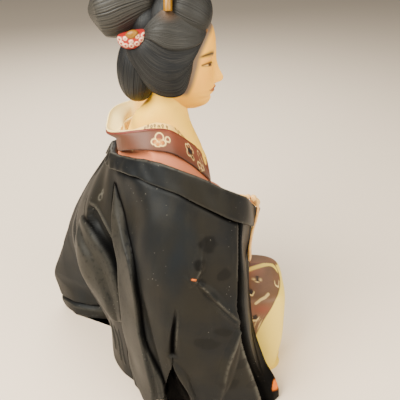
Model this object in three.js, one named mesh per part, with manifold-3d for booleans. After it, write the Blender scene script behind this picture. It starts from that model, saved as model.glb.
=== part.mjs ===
// Hakata doll: a seated woman in a black haori, one fired and painted clay casting.
// The doll faces -Y, her right hand is on the -X side and she sits on z = 0.
import * as THREE from 'three';
import { mergeVertices } from 'three/addons/utils/BufferGeometryUtils.js';
import Module from 'manifold-3d';

// Driving dimensions, in millimetres.
const figureHeight = 248;
const coatBandWidth = 11;
const coatBandThickness = 3.2;
const frontBandWidth = 9;
const collarThickness = 2.4;
const cordThickness = 3;
const combThickness = 2.2;
const pinDiameter = 5;
const footChamfer = 1;

// The forms are given in 248ths of the height, as front, right and up of the doll.
// Front and right are measured from the point under the brow, up from the ground.
const share = figureHeight / 248;
const inShares = length => length / share;

// Shape helpers

const wasm = await Module();
wasm.setup();

const radians = degrees => THREE.MathUtils.degToRad(degrees);
const smooth = (low, high, x) => THREE.MathUtils.smoothstep(x, low, high);
const mix = THREE.MathUtils.lerp;

// A smooth curve through knots [x, value, value, ...], flat beyond its ends.
function curve(knots, x) {
  const slope = (i, k) => {
    const before = knots[Math.max(i - 1, 0)];
    const after = knots[Math.min(i + 1, knots.length - 1)];
    return (after[k] - before[k]) / (after[0] - before[0]);
  };
  const last = knots.length - 1;
  const at = THREE.MathUtils.clamp(x, knots[0][0], knots[last][0]);
  let i = 0;
  while (i < last - 1 && at >= knots[i + 1][0]) i += 1;
  const span = knots[i + 1][0] - knots[i][0];
  const t = (at - knots[i][0]) / span;
  const values = [];
  for (let k = 1; k < knots[0].length; k += 1) {
    values.push((2 * t ** 3 - 3 * t ** 2 + 1) * knots[i][k]
      + (t ** 3 - 2 * t ** 2 + t) * span * slope(i, k)
      + (-2 * t ** 3 + 3 * t ** 2) * knots[i + 1][k]
      + (t ** 3 - t ** 2) * span * slope(i + 1, k));
  }
  return values.length === 1 ? values[0] : values;
}

function solidOf(geometry) {
  const bare = geometry.clone();
  bare.deleteAttribute('normal');
  bare.deleteAttribute('uv');
  const merged = mergeVertices(bare, 1e-4);
  const points = Float32Array.from(merged.getAttribute('position').array);
  const triangles = [];
  let volume = 0;
  const corner = [new THREE.Vector3(), new THREE.Vector3(), new THREE.Vector3()];
  for (let i = 0; i < merged.index.count; i += 3) {
    const [a, b, c] = [0, 1, 2].map(k => merged.index.getX(i + k));
    if (a === b || b === c || c === a) continue;
    triangles.push(a, b, c);
    [a, b, c].forEach((v, k) => corner[k].fromArray(points, 3 * v));
    volume += corner[0].dot(corner[1].clone().cross(corner[2]));
  }
  if (volume < 0) triangles.reverse();
  const mesh = new wasm.Mesh({
    numProp: 3, vertProperties: points, triVerts: Uint32Array.from(triangles),
  });
  return new wasm.Manifold(mesh);
}

// A closed form: a sphere whose rows and columns are laid where at(around, along) says.
function form(columns, rows, at) {
  const geometry = new THREE.SphereGeometry(1, columns, rows);
  const position = geometry.getAttribute('position');
  for (let row = 0; row <= rows; row += 1) {
    for (let column = 0; column <= columns; column += 1) {
      const pole = row === 0 || row === rows;
      const around = pole ? 0 : (column % columns) / columns;
      const [front, right, up] = at(around, row / rows);
      position.setXYZ(row * (columns + 1) + column, -right * share, -front * share, up * share);
    }
  }
  return solidOf(geometry);
}

// A form of level rings: each ring is [up, front, back, half width].
function ringForm(rings, columns, rows, square = 2, carve = () => 0) {
  const knots = rings.map((ring, i) => [i / (rings.length - 1), ...ring]);
  return form(columns, rows, (around, along) => {
    const [up, front, back, half] = curve(knots, along);
    const angle = 2 * Math.PI * around;
    const round = value => Math.sign(value) * Math.abs(value) ** (2 / square);
    const grow = 1 + carve(angle, along);
    return [
      (front + back) / 2 + round(Math.cos(angle)) * grow * (front - back) / 2,
      round(Math.sin(angle)) * grow * half,
      up,
    ];
  });
}

// A rounded form about a centre, turned about the sideways axis, with a carving function.
function lump({ centre, radii, turn = 0, columns = 20, rows = 12, carve = () => 0 }) {
  const tilt = radians(turn);
  return form(columns, rows, (around, along) => {
    const angle = 2 * Math.PI * around;
    const grow = 1 + carve(angle, along);
    const ahead = radii[0] * Math.sin(Math.PI * along) * Math.cos(angle) * grow;
    const side = radii[1] * Math.sin(Math.PI * along) * Math.sin(angle) * grow;
    const rise = radii[2] * Math.cos(Math.PI * along) * grow;
    return [
      centre[0] + ahead * Math.cos(tilt) - rise * Math.sin(tilt),
      centre[1] + side,
      centre[2] + ahead * Math.sin(tilt) + rise * Math.cos(tilt),
    ];
  });
}

// A round rod along knots [share, front, right, up, radius], closed by rounded ends.
function rod(knots, columns, rows, flat = 1) {
  const point = along => new THREE.Vector3(...curve(knots, along).slice(0, 3));
  return form(columns, rows, (around, along) => {
    const step = 0.5 / rows;
    const ahead = point(Math.min(along + step, 1)).sub(point(Math.max(along - step, 0)));
    const level = new THREE.Vector3(0, 1, 0);
    if (Math.abs(ahead.clone().normalize().y) > 0.9) level.set(1, 0, 0);
    const side = level.clone().cross(ahead).normalize();
    const rise = ahead.clone().cross(side).normalize();
    const radius = curve(knots, along)[3] * Math.min(1, 1.6 * Math.sqrt(Math.sin(Math.PI * along)));
    const angle = 2 * Math.PI * around;
    return point(along)
      .addScaledVector(side, radius * Math.cos(angle) * flat)
      .addScaledVector(rise, radius * Math.sin(angle))
      .toArray();
  });
}

const mirrored = solid => solid.mirror([1, 0, 0]);
const both = solid => [solid, mirrored(solid)];

// Haori: the coat's plan radius about an upright axis, by bearing from the front
// towards her right, each row a curve of [up, radius].

const coatAxis = -25;
const coatPlan = [
  [10, [[0, 84], [13, 83], [40, 68], [60, 61], [87, 58], [122, 59]]],
  [30, [[0, 85], [13, 83], [25, 75], [40, 69], [60, 65], [90, 62], [124, 59], [136, 58]]],
  [45, [[0, 82], [10, 81], [40, 76], [66, 73], [100, 67], [134, 58], [147, 55.5]]],
  [65, [[0, 65], [30, 66], [66, 66], [100, 63], [125, 57], [142, 51.5], [158, 46.5]]],
  [90, [[0, 55], [30, 57], [60, 58], [102, 57], [130, 48], [149, 37], [160, 32]]],
  [112, [[0, 40], [30, 41], [60, 43], [108, 40], [130, 34], [150, 31], [158, 26]]],
  [135, [[0, 37], [40, 37], [80, 40], [110, 36], [138, 30], [151, 27], [156, 23]]],
  [160, [[0, 36], [30, 36], [60, 42], [85, 46], [110, 42], [130, 33], [149, 27], [154, 24]]],
  [180, [[0, 36], [30, 38], [60, 46], [83, 49], [113, 45], [135, 33.5], [143, 30], [152, 25.5]]],
  [200, [[0, 38], [20, 47], [45, 57], [74, 61], [97, 56], [121, 44], [141, 31.5], [152, 26]]],
  [209, [[0, 86], [13, 88], [26, 90], [45, 84], [74, 75], [97, 63], [121, 48], [141, 33.5], [151, 28]]],
  [222, [[0, 90], [26, 90], [50, 80], [74, 72], [97, 62], [121, 48], [141, 35.5], [150, 30.5]]],
  [245, [[0, 76], [26, 74], [74, 64], [110, 54], [135, 43], [146, 37]]],
  [270, [[0, 58], [30, 60], [66, 61], [102, 60], [130, 53]]],
  [295, [[0, 65], [30, 66], [66, 66], [100, 63], [110, 61]]],
  [315, [[0, 82], [10, 81], [40, 76], [66, 73], [101, 66]]],
  [330, [[0, 85], [13, 83], [25, 75], [40, 69], [60, 65], [90, 62], [105, 60]]],
  [350, [[0, 84], [13, 83], [40, 68], [60, 61], [87, 58], [110, 59]]],
];

// The coat's upper edge: on the right shoulder, and slipped lower down the left arm.
const coatTop = [
  [10, 119], [18, 124.5], [26, 132.5], [35, 140], [47, 148], [56, 154], [64, 157.5], [75, 160],
  [95, 159.5], [118, 157], [147, 154.4], [180, 151.8], [200, 151], [222, 148], [245, 141],
  [270, 126], [290, 110], [313, 101], [325, 102], [334, 104], [342, 106], [350, 109],
];
const coatOpening = [[0, 31], [13, 31], [25, 30], [40, 28], [60, 24], [73, 20], [87, 15], [122, 11]];

const coatRadius = (bearing, up) => {
  const within = THREE.MathUtils.clamp(bearing, 10, 350);
  return curve(coatPlan.map(([angle, profile]) => [angle, curve(profile, up)]), within);
};
const coatPoint = (bearing, up, lift) => {
  const radius = coatRadius(bearing, up) + lift;
  return [coatAxis + radius * Math.cos(radians(bearing)), radius * Math.sin(radians(bearing)), up];
};

// How far the slanting collar band reaches below the upper edge at a bearing.
function bandDrop(bearing) {
  const step = 4;
  const at = THREE.MathUtils.clamp(bearing, 10 + step, 350 - step);
  const rise = curve(coatTop, at + step) - curve(coatTop, at - step);
  const run = 2 * radians(step) * coatRadius(at, curve(coatTop, at));
  return inShares(coatBandWidth) * Math.hypot(1, rise / run);
}

function coatBody() {
  const columns = 54;
  const rows = 20;
  const thick = inShares(coatBandThickness);
  const foot = inShares(footChamfer);
  const strip = inShares(frontBandWidth);
  const front = 7;
  const brow = 122;
  // share of the columns against share of the turn, closer where the folds are
  const spacing = [[0, 0], [0.34, 0.3], [0.53, 0.48], [0.68, 0.58], [1, 1]];

  // Bearing of a column and how far it stands out from the plan or sinks below it.
  function columnAt(around, up) {
    const index = Math.round(around * columns);
    const mirror = index > columns / 2;
    const near = mirror ? columns - index : index;
    const edge = curve(coatOpening, up);
    const perDegree = radians(1) * coatRadius(edge, up);
    const turned = (bearing, out) => ({ bearing: mirror ? 360 - bearing : bearing, out });
    const stripEnd = edge + strip / perDegree;
    const grooveEnd = stripEnd + 1.6 / perDegree;
    if (near === 0) return turned(0, -26);
    if (near < 3) return turned(edge * [0, 0.55, 0.93][near], -26);
    if (near === 3) return turned(edge * 0.98, -thick);
    if (near === 4) return turned(edge + 1 / perDegree, 1);
    if (near === 5) return turned(stripEnd - 0.8 / perDegree, 1);
    if (near === 6) return turned(stripEnd, -1.6);
    const way = (index - front) / (columns - 2 * front);
    let i = 0;
    while (i < spacing.length - 2 && way > spacing[i + 1][0]) i += 1;
    const [from, to] = [spacing[i], spacing[i + 1]];
    const turn = mix(from[1], to[1], (way - from[0]) / (to[0] - from[0]));
    return { bearing: mix(grooveEnd, 360 - grooveEnd, turn), out: 0 };
  }

  const lip = [[thick + 5, 8], [thick + 0.6, 4], [thick, 0.4], [0.6, 0]];
  const bandRows = [0.04, 0.5, 0.98, 1.06];
  return form(columns, rows, (around, along) => {
    const row = Math.round(along * rows);
    if (row === 0) return [coatAxis, 0, 118];
    if (row === rows) return [coatAxis, 0, 0];
    const bearing = THREE.MathUtils.clamp(columnAt(around, brow).bearing, 10, 350);
    const top = curve(coatTop, bearing);
    const drop = bandDrop(bearing);
    const wall = lip.length + bandRows.length;
    let up = 0;
    let out = -foot;
    if (row <= lip.length) {
      up = top - lip[row - 1][1];
      out = 1.4 - lip[row - 1][0];
    } else if (row <= wall) {
      up = top - drop * bandRows[row - lip.length - 1];
      out = row < wall ? 1.4 : -0.6;
    } else if (row < rows - 1) {
      up = mix(top - drop * 1.06, foot, (row - wall) / (rows - 2 - wall));
      out = 0;
    }
    const column = columnAt(around, up);
    const step = row <= wall ? Math.min(column.out, 0) : column.out;
    return coatPoint(column.bearing, up, step + out);
  });
}

// Folds of the coat, along [bearing, up, half width, lift off the surface].
const coatRidges = [
  // rolled back edge of the right sleeve
  [[136, 140, 1.5, -1.5], [120, 114, 5, -1], [113, 96, 7, -1], [110, 72, 7.5, -1],
    [106, 43, 7.5, -1], [103, 20, 6.5, -1], [97, 4, 4, -1]],
  // leaf-shaped fold of the back and the arched one beside it
  [[186, 116, 1, -1], [180, 98, 8, -3], [170, 76, 10, -4], [160, 50, 8, -3], [149, 29, 2, -1]],
  [[174, 127, 1, -1], [154, 122, 3, -1], [140, 114, 3, -1], [130, 100, 1.5, -1]],
  // from the elbow up, on to the wrist, and down from the wrist
  [[71, 100, 2, -1], [67, 108, 4, -2], [65, 116, 4, -3], [63, 126, 2, -2]],
  [[75, 105, 1, -0.5], [63, 94, 4.5, -2.2], [57, 83, 5, -2.5], [50, 71, 5, -2], [45, 62, 1.5, -0.5]],
  [[46, 68, 1.5, -0.5], [52, 55, 5, -2.2], [55, 38, 6, -3], [59, 14, 3, -2]],
  // edge of the front panel of the sleeve
  [[83, 48, 1.5, -1], [78, 34, 5, -2], [75, 22, 5, -2], [70, 5, 4, -2]],
  // the left side, plainer
  [[228, 136, 1.5, -1], [240, 112, 6, -2], [249, 76, 7, -2], [253, 40, 7, -2], [255, 5, 5, -2]],
  [[286, 100, 1, -0.5], [298, 86, 5, -2.2], [307, 72, 5, -2], [314, 62, 1.5, -0.5]],
  [[313, 68, 1.5, -0.5], [308, 50, 5, -2.2], [304, 32, 6, -3], [301, 12, 3, -2]],
];
const coatGrooves = [
  // behind the rolled edge, and before it
  [[160, 117, 1, 0], [144, 104, 5, 0], [134, 78, 8, 2], [128, 50, 6, 1], [124, 28, 2, 1]],
  [[102, 96, 0.6, 0.5], [96, 72, 2.5, 0.5], [91, 44, 2.5, 0.5], [86, 14, 2.5, 0.5]],
  // slit of the sleeve and the gap below it
  [[78, 92, 0.6, 0.3], [79, 78, 3, 0.5], [81, 58, 4, 0.5], [83, 38, 3, 0.5]],
  [[85, 32, 1, 0.5], [81, 16, 5, 1], [78, -4, 6, 1]],
  // beside the leaf fold, and the seam of the trailing hem
  [[194, 114, 1, 0.5], [191, 92, 4, 2], [188, 60, 5, 2], [183, 24, 2, 1]],
  [[203, 24, 1, 0.5], [214, 21, 2.2, 1], [230, 21, 2.2, 1], [250, 19, 1, 0.5]],
  // the left side, plainer
  [[279, 88, 0.6, 0.3], [278, 66, 3, 0.5], [277, 40, 3, 0.5], [276, 12, 2.5, 0.5]],
];

function fold(path) {
  const knots = path.map(([bearing, up, half, lift], i) => (
    [i / (path.length - 1), ...coatPoint(bearing, up, lift), half]
  ));
  return rod(knots, 6, path.length + 3);
}

function haori() {
  const ridged = coatRidges.reduce((coat, path) => coat.add(fold(path)), coatBody());
  return coatGrooves.reduce((coat, path) => coat.subtract(fold(path)), ridged);
}

// Kimono: shoulders and chest, sleeves, lap and knees, obi

function kimonoBody() {
  return ringForm([
    [157, -24, -30, 0], [158, -20, -34, 8], [161, -13, -42, 17], [164.5, -11, -44, 22],
    [162, -7, -46, 26], [157, -4, -48, 29], [148, 1.5, -48.5, 31], [132, 7, -47, 34],
    [112, 11, -46, 36], [80, 14, -46, 36], [42, 10, -48, 36], [40, 0, -50, 20], [40, -24, -26, 0],
  ], 18, 11, 2.2);
}

function kimonoSleeve() {
  return rod([
    [0, -24, 20, 156, 9], [0.3, -22, 30, 140, 13], [0.6, -16, 39, 118, 14], [1, -8, 41, 92, 14],
  ], 10, 6);
}

function lap() {
  const knees = [
    [63, 10, -10, 0], [63, 37, -12, 14], [61.5, 48, -14, 21], [57, 53, -16, 25], [45, 54.5, -18, 26.5],
    [22, 54, -20, 27], [1, 53, -20, 26.5], [0, 52, -20, 25.5], [0, 20, 0, 0],
  ];
  const parting = (angle, along) => {
    const off = angle > Math.PI ? angle - 2 * Math.PI : angle;
    return -0.08 * Math.exp(-((off / 0.13) ** 2)) * smooth(0.1, 0.4, along);
  };
  return ringForm(knees, 26, 10, 3.6, parting);
}

function obi() {
  return ringForm([
    [116, -12, -14, 0], [116, 14, -42, 33], [112, 18, -44, 35.5], [96, 20, -44, 37], [78, 20, -44, 37],
    [74, 17, -42, 34], [74, -12, -14, 0],
  ], 16, 6, 2.4);
}

function hands() {
  const cuff = [[0, 2, 34, 76, 12], [0.5, 10, 26, 71, 12], [1, 17, 17, 67, 9.5]];
  const palm = lump({ centre: [22, 7, 64.5], radii: [8.5, 10, 5], turn: -10, columns: 10, rows: 5 });
  const fingers = [0, 1, 2, 3].map(i => {
    const out = 17 + 3.5 * i;
    const finger = [[0, out, 7, 67.5, 2.6], [0.5, out + 1, -1, 67.5, 2.8], [1, out + 1.5, -9.5, 65.5, 2.2]];
    return rod(finger, 6, 4);
  });
  return [...both(rod(cuff, 10, 4)), palm, mirrored(palm), ...fingers];
}

// Neck, collars and head

function neck() {
  return ringForm([
    [196, -15, -17, 0], [194, -7, -26, 9], [186, -7.5, -27.5, 10], [178, -7.5, -29, 10],
    [170, -5.5, -32.5, 11], [162, -2.5, -38, 12.5], [153, 1.2, -41, 14], [142, 3.4, -40, 14],
    [142, -15, -17, 0],
  ], 14, 8);
}

// The kimono collar as [share, front, right, up, foot's distance outside, foot's drop]:
// its rim from the nape round her right to the crossing on the chest.
const collarRim = [
  [0, -52, 0, 165, -3.5, 9], [0.14, -50, 9, 166, -2, 9], [0.3, -43, 16, 168.5, 2, 9],
  [0.45, -34, 19.5, 171, 5, 8.5], [0.58, -25, 20.5, 172.5, 6.5, 8.5], [0.7, -16, 19, 171, 6.5, 9],
  [0.82, -8, 13, 164, 6, 10], [0.92, -1, 6, 155.5, 4.5, 11], [1, 3.5, -3, 147, 2.5, 11],
];
const collarCentre = -24;

function collar() {
  const thick = inShares(collarThickness);
  const rows = 17;
  // section as [share of the way from rim to foot, share of the thickness]
  const section = [[0, 0.4], [0, -0.4], [0.5, -0.9], [1, -1.2], [1.15, 0], [1, 0.5], [0.5, 0.6]];
  return form(section.length, rows, (around, along) => {
    const pole = along === 0 || along === 1;
    const way = THREE.MathUtils.clamp((along * rows - 1) / (rows - 2), 0, 1);
    const [front, right, up, out, drop] = curve(collarRim, way);
    const away = new THREE.Vector2(front - collarCentre, right * 1.5);
    if (along < 0.5 && right < 1) away.set(-1, 0);
    away.normalize();
    const [down, across] = pole ? [0.5, 0] : section[Math.round(around * section.length) % section.length];
    const offset = out * down + across * thick;
    const past = pole ? (along === 0 ? -0.8 : 0.8) : 0;
    return [front + away.x * offset, right + away.y * offset + (along === 0 ? past : 0), up - drop * down];
  });
}

const faceProfile = [
  [170, -12], [176, -3], [179, 3], [180.6, 4.6], [183.1, 5.5], [184.8, 5.1], [186.7, 7], [188, 6.6],
  [189.6, 7.9], [192, 8.1], [194, 8.4], [200, 8.6], [208.4, 8.4], [216, 7.8], [222, 6.2], [230, 0],
];
const faceWidth = [
  [176, 1], [179, 5.4], [183, 9], [188, 12], [194, 14.3], [200, 15.4], [206, 15.8], [214, 15.6],
  [222, 14], [230, 9],
];
const noseRise = [[191, 0], [192.2, 3], [194.6, 4], [198, 2.4], [203, 0.6], [207, 0]];

function head() {
  const columns = 22;
  const rows = 17;
  return form(columns, rows, (around, along) => {
    const up = mix(231, 177, along);
    const front = curve(faceProfile, up);
    const half = curve(faceWidth, up) * (along === 0 || along === 1 ? 0 : 1);
    const back = along === 1 ? -4 : -24 + 14 * smooth(188, 177, up);
    const turn = 2 * around - (around > 0.5 ? 2 : 0);
    const angle = Math.PI * Math.sign(turn) * Math.abs(turn) ** 1.35;
    const ahead = Math.cos(angle);
    const depth = ahead > 0 ? front + 9 : -9 - back;
    const side = Math.sign(Math.sin(angle)) * Math.abs(Math.sin(angle)) ** 0.86 * half;
    const nose = curve(noseRise, up) * Math.exp(-((side / 2.6) ** 2)) * (ahead > 0 ? 1 : 0);
    return [-9 + depth * ahead + nose, side, up];
  });
}

// Hair: side wings, nape roll, front roll, topknot, with combed locks

// Locks combed from pole to pole: every other column of the form is drawn in.
const flutes = (columns, depth) => (angle, along) => (
  depth * Math.cos(columns * angle / 2) * Math.sin(Math.PI * along)
);

function hair() {
  // the upper comb-out of a wing is parted from the lower one by a shallow furrow
  const furrow = along => 0.05 * Math.exp(-(((along - 0.36) / 0.05) ** 2));
  const wing = lump({
    centre: [-13, 10, 209], radii: [16.5, 12, 20], turn: 12, columns: 16, rows: 10,
    carve: (angle, along) => flutes(16, 0.015)(angle, along) - furrow(along),
  });
  const crown = lump({ centre: [-14, 0, 215], radii: [17, 16.5, 27], columns: 12, rows: 8 });
  const nape = lump({
    centre: [-31, 0, 199], radii: [13, 15, 15.5], turn: -14, columns: 18, rows: 8,
    carve: flutes(18, 0.03),
  });
  const frontRoll = lump({
    centre: [-7, 0, 230.5], radii: [13.5, 15, 11.5], turn: -24, columns: 18, rows: 8,
    carve: flutes(18, 0.025),
  });
  const knot = [
    [0, -20, 0, 236, 6], [0.2, -27, 0, 236, 9.5], [0.45, -37, 0, 233.5, 13], [0.7, -45, 0, 230.5, 13.8],
    [0.88, -51, 0, 229, 12], [1, -57, 0, 228, 7],
  ];
  const stem = lump({ centre: [-26, 0, 222], radii: [11, 12.5, 12], columns: 10, rows: 6 });
  return [...both(wing), crown, nape, frontRoll, stem, rod(knot, 16, 9, 1.08)];
}

function ornaments() {
  const thick = inShares(combThickness);
  const comb = form(6, 11, (around, along) => {
    const bow = Math.PI * (along - 0.5) * 0.92;
    const angle = 2 * Math.PI * around;
    const pole = along === 0 || along === 1 ? 0 : 1;
    const reach = 15 + 3.4 * Math.cos(angle) * pole;
    const across = thick * 0.5 * Math.sin(angle) * pole;
    return [-17.5 + across, reach * Math.sin(bow), 224.2 + 1.3 * reach * Math.cos(bow)];
  });
  const cloth = lump({ centre: [-33, 14, 220], radii: [7.5, 4.8, 5], turn: -10, columns: 10, rows: 6 });
  const half = inShares(pinDiameter) / 2;
  const pin = lump({ centre: [-33, 18, 221.5], radii: [half, 2, half], columns: 8, rows: 4 });
  return [comb, ...both(cloth), ...both(pin)];
}

// Cord that ties the coat, with two tassels

function cord() {
  const radius = inShares(cordThickness) / 2;
  const knot = lump({ centre: [33, 0, 118], radii: [3.4, 4.6, 3.6], columns: 8, rows: 5 });
  const loop = rod([[0, 31, 15, 122, radius], [0.5, 34, 7, 120, radius], [1, 33, 0, 118, radius]], 6, 4);
  const tassel = rod([
    [0, 34.5, 3, 118, radius], [0.3, 34.5, 5, 106, radius], [0.6, 33.5, 5, 94, radius],
    [0.75, 33, 5, 88, radius * 1.5], [1, 32.5, 5, 77, radius * 1.7],
  ], 6, 7);
  return [knot, ...both(loop), ...both(tassel)];
}

// What would reach below the ground, so that she sits on one flat underside.
function ground() {
  const wide = 3 * figureHeight;
  const block = new THREE.BoxGeometry(wide, wide, figureHeight).translate(0, 0, -figureHeight / 2);
  return solidOf(block);
}

function doll() {
  const pieces = [
    haori(), kimonoBody(), ...both(kimonoSleeve()), lap(), obi(), ...hands(), neck(), ...both(collar()),
    head(), ...hair(), ...ornaments(), ...cord(),
  ];
  return pieces.reduce((whole, piece) => whole.add(piece)).subtract(ground());
}

// Geometry of the joined casting, centred over its own box

const casting = doll().getMesh();
const geometry = new THREE.BufferGeometry();
geometry.setAttribute('position', new THREE.BufferAttribute(Float32Array.from(casting.vertProperties), 3));
geometry.setIndex(new THREE.BufferAttribute(Uint32Array.from(casting.triVerts), 1));
geometry.computeBoundingBox();
const middle = geometry.boundingBox.getCenter(new THREE.Vector3());
geometry.translate(-middle.x, -middle.y, -geometry.boundingBox.min.z);
geometry.computeVertexNormals();

const paintedClay = new THREE.MeshStandardMaterial({ color: 0x2b2c2d, roughness: 0.62, metalness: 0 });
const figure = new THREE.Mesh(geometry, paintedClay);
figure.name = 'doll';

const group = new THREE.Group();
group.add(figure);
export default group;
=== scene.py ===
"""Painted finish of a seated hakata doll, laid round its packed casting."""

import math

import bmesh
import bpy
import numpy as np
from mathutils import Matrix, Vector

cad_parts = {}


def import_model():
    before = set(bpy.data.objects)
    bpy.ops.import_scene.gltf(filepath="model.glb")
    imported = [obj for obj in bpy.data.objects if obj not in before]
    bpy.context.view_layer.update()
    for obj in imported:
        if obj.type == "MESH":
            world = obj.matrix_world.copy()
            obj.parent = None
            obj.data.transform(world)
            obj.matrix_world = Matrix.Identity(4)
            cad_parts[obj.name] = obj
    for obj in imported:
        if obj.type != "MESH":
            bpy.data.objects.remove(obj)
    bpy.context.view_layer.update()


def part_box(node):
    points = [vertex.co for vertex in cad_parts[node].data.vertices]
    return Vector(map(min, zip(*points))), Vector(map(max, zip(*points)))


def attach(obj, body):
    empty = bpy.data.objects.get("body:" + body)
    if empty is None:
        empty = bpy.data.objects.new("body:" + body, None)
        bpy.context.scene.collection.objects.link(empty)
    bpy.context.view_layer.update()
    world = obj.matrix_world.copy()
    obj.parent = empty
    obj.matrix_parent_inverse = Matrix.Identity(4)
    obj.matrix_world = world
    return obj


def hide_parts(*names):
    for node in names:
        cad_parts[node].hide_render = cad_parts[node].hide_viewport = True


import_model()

# The forms are given in 248ths of her height, as front, right and up of the doll.
# Front and right are measured from the point under the brow, up from the ground.
HEIGHT_SHARES = 248
SHARE = (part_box("doll")[1].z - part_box("doll")[0].z) / HEIGHT_SHARES
MIDDLE_FRONT = 25.087
MIDDLE_RIGHT = 2.855
WELD = 2e-6


# Curves and small shape functions


def smooth(low, high, x):
    t = np.clip((x - low) / (high - low), 0, 1)
    return t * t * (3 - 2 * t)


def mix(first, second, t):
    return first + (second - first) * t


def hump(x, middle, width):
    return np.exp(-(((x - middle) / width) ** 2))


def signed_power(x, power):
    return np.sign(x) * np.abs(x) ** power


def hermite(stops, x):
    """Index before x, and the four weights of a smooth curve there."""
    i = np.clip(np.searchsorted(stops, x, side="right") - 1, 0, len(stops) - 2)
    span = stops[i + 1] - stops[i]
    t = (np.clip(x, stops[0], stops[-1]) - stops[i]) / span
    start = 2 * t**3 - 3 * t**2 + 1
    return i, start, (t**3 - 2 * t**2 + t) * span, 1 - start, (t**3 - t**2) * span


def slopes_of(stops, values):
    last = len(stops) - 1
    before = np.maximum(np.arange(last + 1) - 1, 0)
    after = np.minimum(np.arange(last + 1) + 1, last)
    return ((values[after] - values[before]).T / (stops[after] - stops[before])).T


def curve(knots, x):
    """A smooth curve through knots [x, value, ...], flat beyond its ends."""
    knots = np.array(knots, float)
    stops, values = knots[:, 0], knots[:, 1:]
    x = np.atleast_1d(np.asarray(x, float))
    slopes = slopes_of(stops, values)
    i, start, leave, end, arrive = (w if w.dtype == int else w[:, None] for w in hermite(stops, x))
    made = start * values[i] + leave * slopes[i] + end * values[i + 1] + arrive * slopes[i + 1]
    return made[:, 0] if made.shape[1] == 1 else made


def spaced(path):
    """The stops of a path, each after its share of the way by count."""
    return [[i / (len(path) - 1), *stop] for i, stop in enumerate(path)]


def across(stops, values, x):
    """A smooth curve through values that differ from point to point."""
    stops = np.array(stops, float)
    slopes = slopes_of(stops, values)
    i, start, leave, end, arrive = hermite(stops, x)
    each = np.arange(len(x))
    made = start * values[i, each] + leave * slopes[i, each]
    return made + end * values[i + 1, each] + arrive * slopes[i + 1, each]


def soft_max(first, second, blend):
    h = np.clip(0.5 + 0.5 * (first - second) / blend, 0, 1)
    return mix(second, first, h) + blend * h * (1 - h) / 2


def ripple(turn, counts, seed):
    """A wavy line round a full turn, made of whole waves; it stays between -1 and 1."""
    draw = np.random.default_rng(seed)
    total = np.zeros_like(turn)
    for count in counts:
        total += draw.uniform(0.5, 1) * np.cos(2 * np.pi * (count * turn + draw.uniform()))
    return total / len(counts)


def wander(x, y, size, seed, waves=9):
    """Slow uneven variation over a surface, about -1 to 1."""
    draw = np.random.default_rng(seed)
    total = np.zeros_like(x)
    for _ in range(waves):
        heading = draw.uniform(0, 2 * np.pi)
        pitch = draw.uniform(0.6, 1.7) / size
        way = x * np.cos(heading) + y * np.sin(heading)
        total += np.sin(2 * np.pi * (way * pitch + draw.uniform()))
    return total / math.sqrt(waves)


# Making a piece


def place(front, right, up):
    """Front, right and up in shares, as points of the row frame in metres."""
    spread = np.broadcast_arrays(-(right + MIDDLE_RIGHT), -(front + MIDDLE_FRONT), up)
    return np.stack(spread, -1) * SHARE


def finished(bm, name, paint):
    """Makes the bmesh a piece that rides on the doll and stands for the casting."""
    bmesh.ops.recalc_face_normals(bm, faces=bm.faces[:])
    mesh = bpy.data.meshes.new(name)
    bm.to_mesh(mesh)
    bm.free()
    mesh.shade_smooth()
    mesh.materials.append(paint)
    piece = bpy.data.objects.new(name, mesh)
    bpy.context.scene.collection.objects.link(piece)
    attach(piece, "root")
    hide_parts("doll")


def formed(name, columns, rows, at, paint):
    """A closed form: a grid whose sides meet and whose ends close, laid where at() says.

    at(around, along) gives front, right and up, and may add a dict of masks for the paint.
    """
    bm = bmesh.new()
    bm.loops.layers.uv.new("lay")
    bmesh.ops.create_grid(bm, x_segments=columns, y_segments=rows, size=0.5, calc_uvs=True)
    flat = np.array([vert.co[:2] for vert in bm.verts]) + 0.5
    front, right, up, *masks = at(flat[:, 0], flat[:, 1])
    up = np.maximum(up, 0)
    for vert, spot in zip(bm.verts, place(front, right, up)):
        vert.co = spot
    for mask, values in (masks[0] if masks else {}).items():
        layer = bm.verts.layers.float.new(mask)
        for vert, value in zip(bm.verts, np.broadcast_to(values, len(flat))):
            vert[layer] = value
    bmesh.ops.remove_doubles(bm, verts=bm.verts[:], dist=WELD)
    finished(bm, name, paint)


def ring_form(rings, square=2.0, carve=None, masks=None, dense=None):
    """Level rings, each [up, front, back, half width], with more columns towards the dense bearing."""
    knots = spaced(rings)
    crowding = 0.65

    def at(around, along):
        up, front, back, half = curve(knots, along).T
        turn = 2 * np.pi * around
        if dense is not None:
            turn = turn - crowding * np.sin(turn - dense)
        angle = np.arctan2(signed_power(np.sin(turn), square / 2), signed_power(np.cos(turn), square / 2))
        grow = 1 + (carve(turn, along) if carve else 0)
        ahead = (front + back) / 2 + signed_power(np.cos(angle), 2 / square) * grow * (front - back) / 2
        side = signed_power(np.sin(angle), 2 / square) * grow * half
        return (ahead, side, up, masks(ahead, side, up)) if masks else (ahead, side, up)

    return at


def lump(centre, radii, turn=0.0, carve=None):
    """A rounded form about a centre, turned about the sideways axis."""
    tilt = math.radians(turn)

    def at(around, along):
        angle = 2 * np.pi * around
        grow = 1 + (carve(around, along) if carve else 0)
        ahead = radii[0] * np.sin(np.pi * along) * np.cos(angle) * grow
        side = radii[1] * np.sin(np.pi * along) * np.sin(angle) * grow
        rise = radii[2] * np.cos(np.pi * along) * grow
        front = centre[0] + ahead * math.cos(tilt) - rise * math.sin(tilt)
        return front, centre[1] + side, centre[2] + ahead * math.sin(tilt) + rise * math.cos(tilt)

    return at


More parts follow.
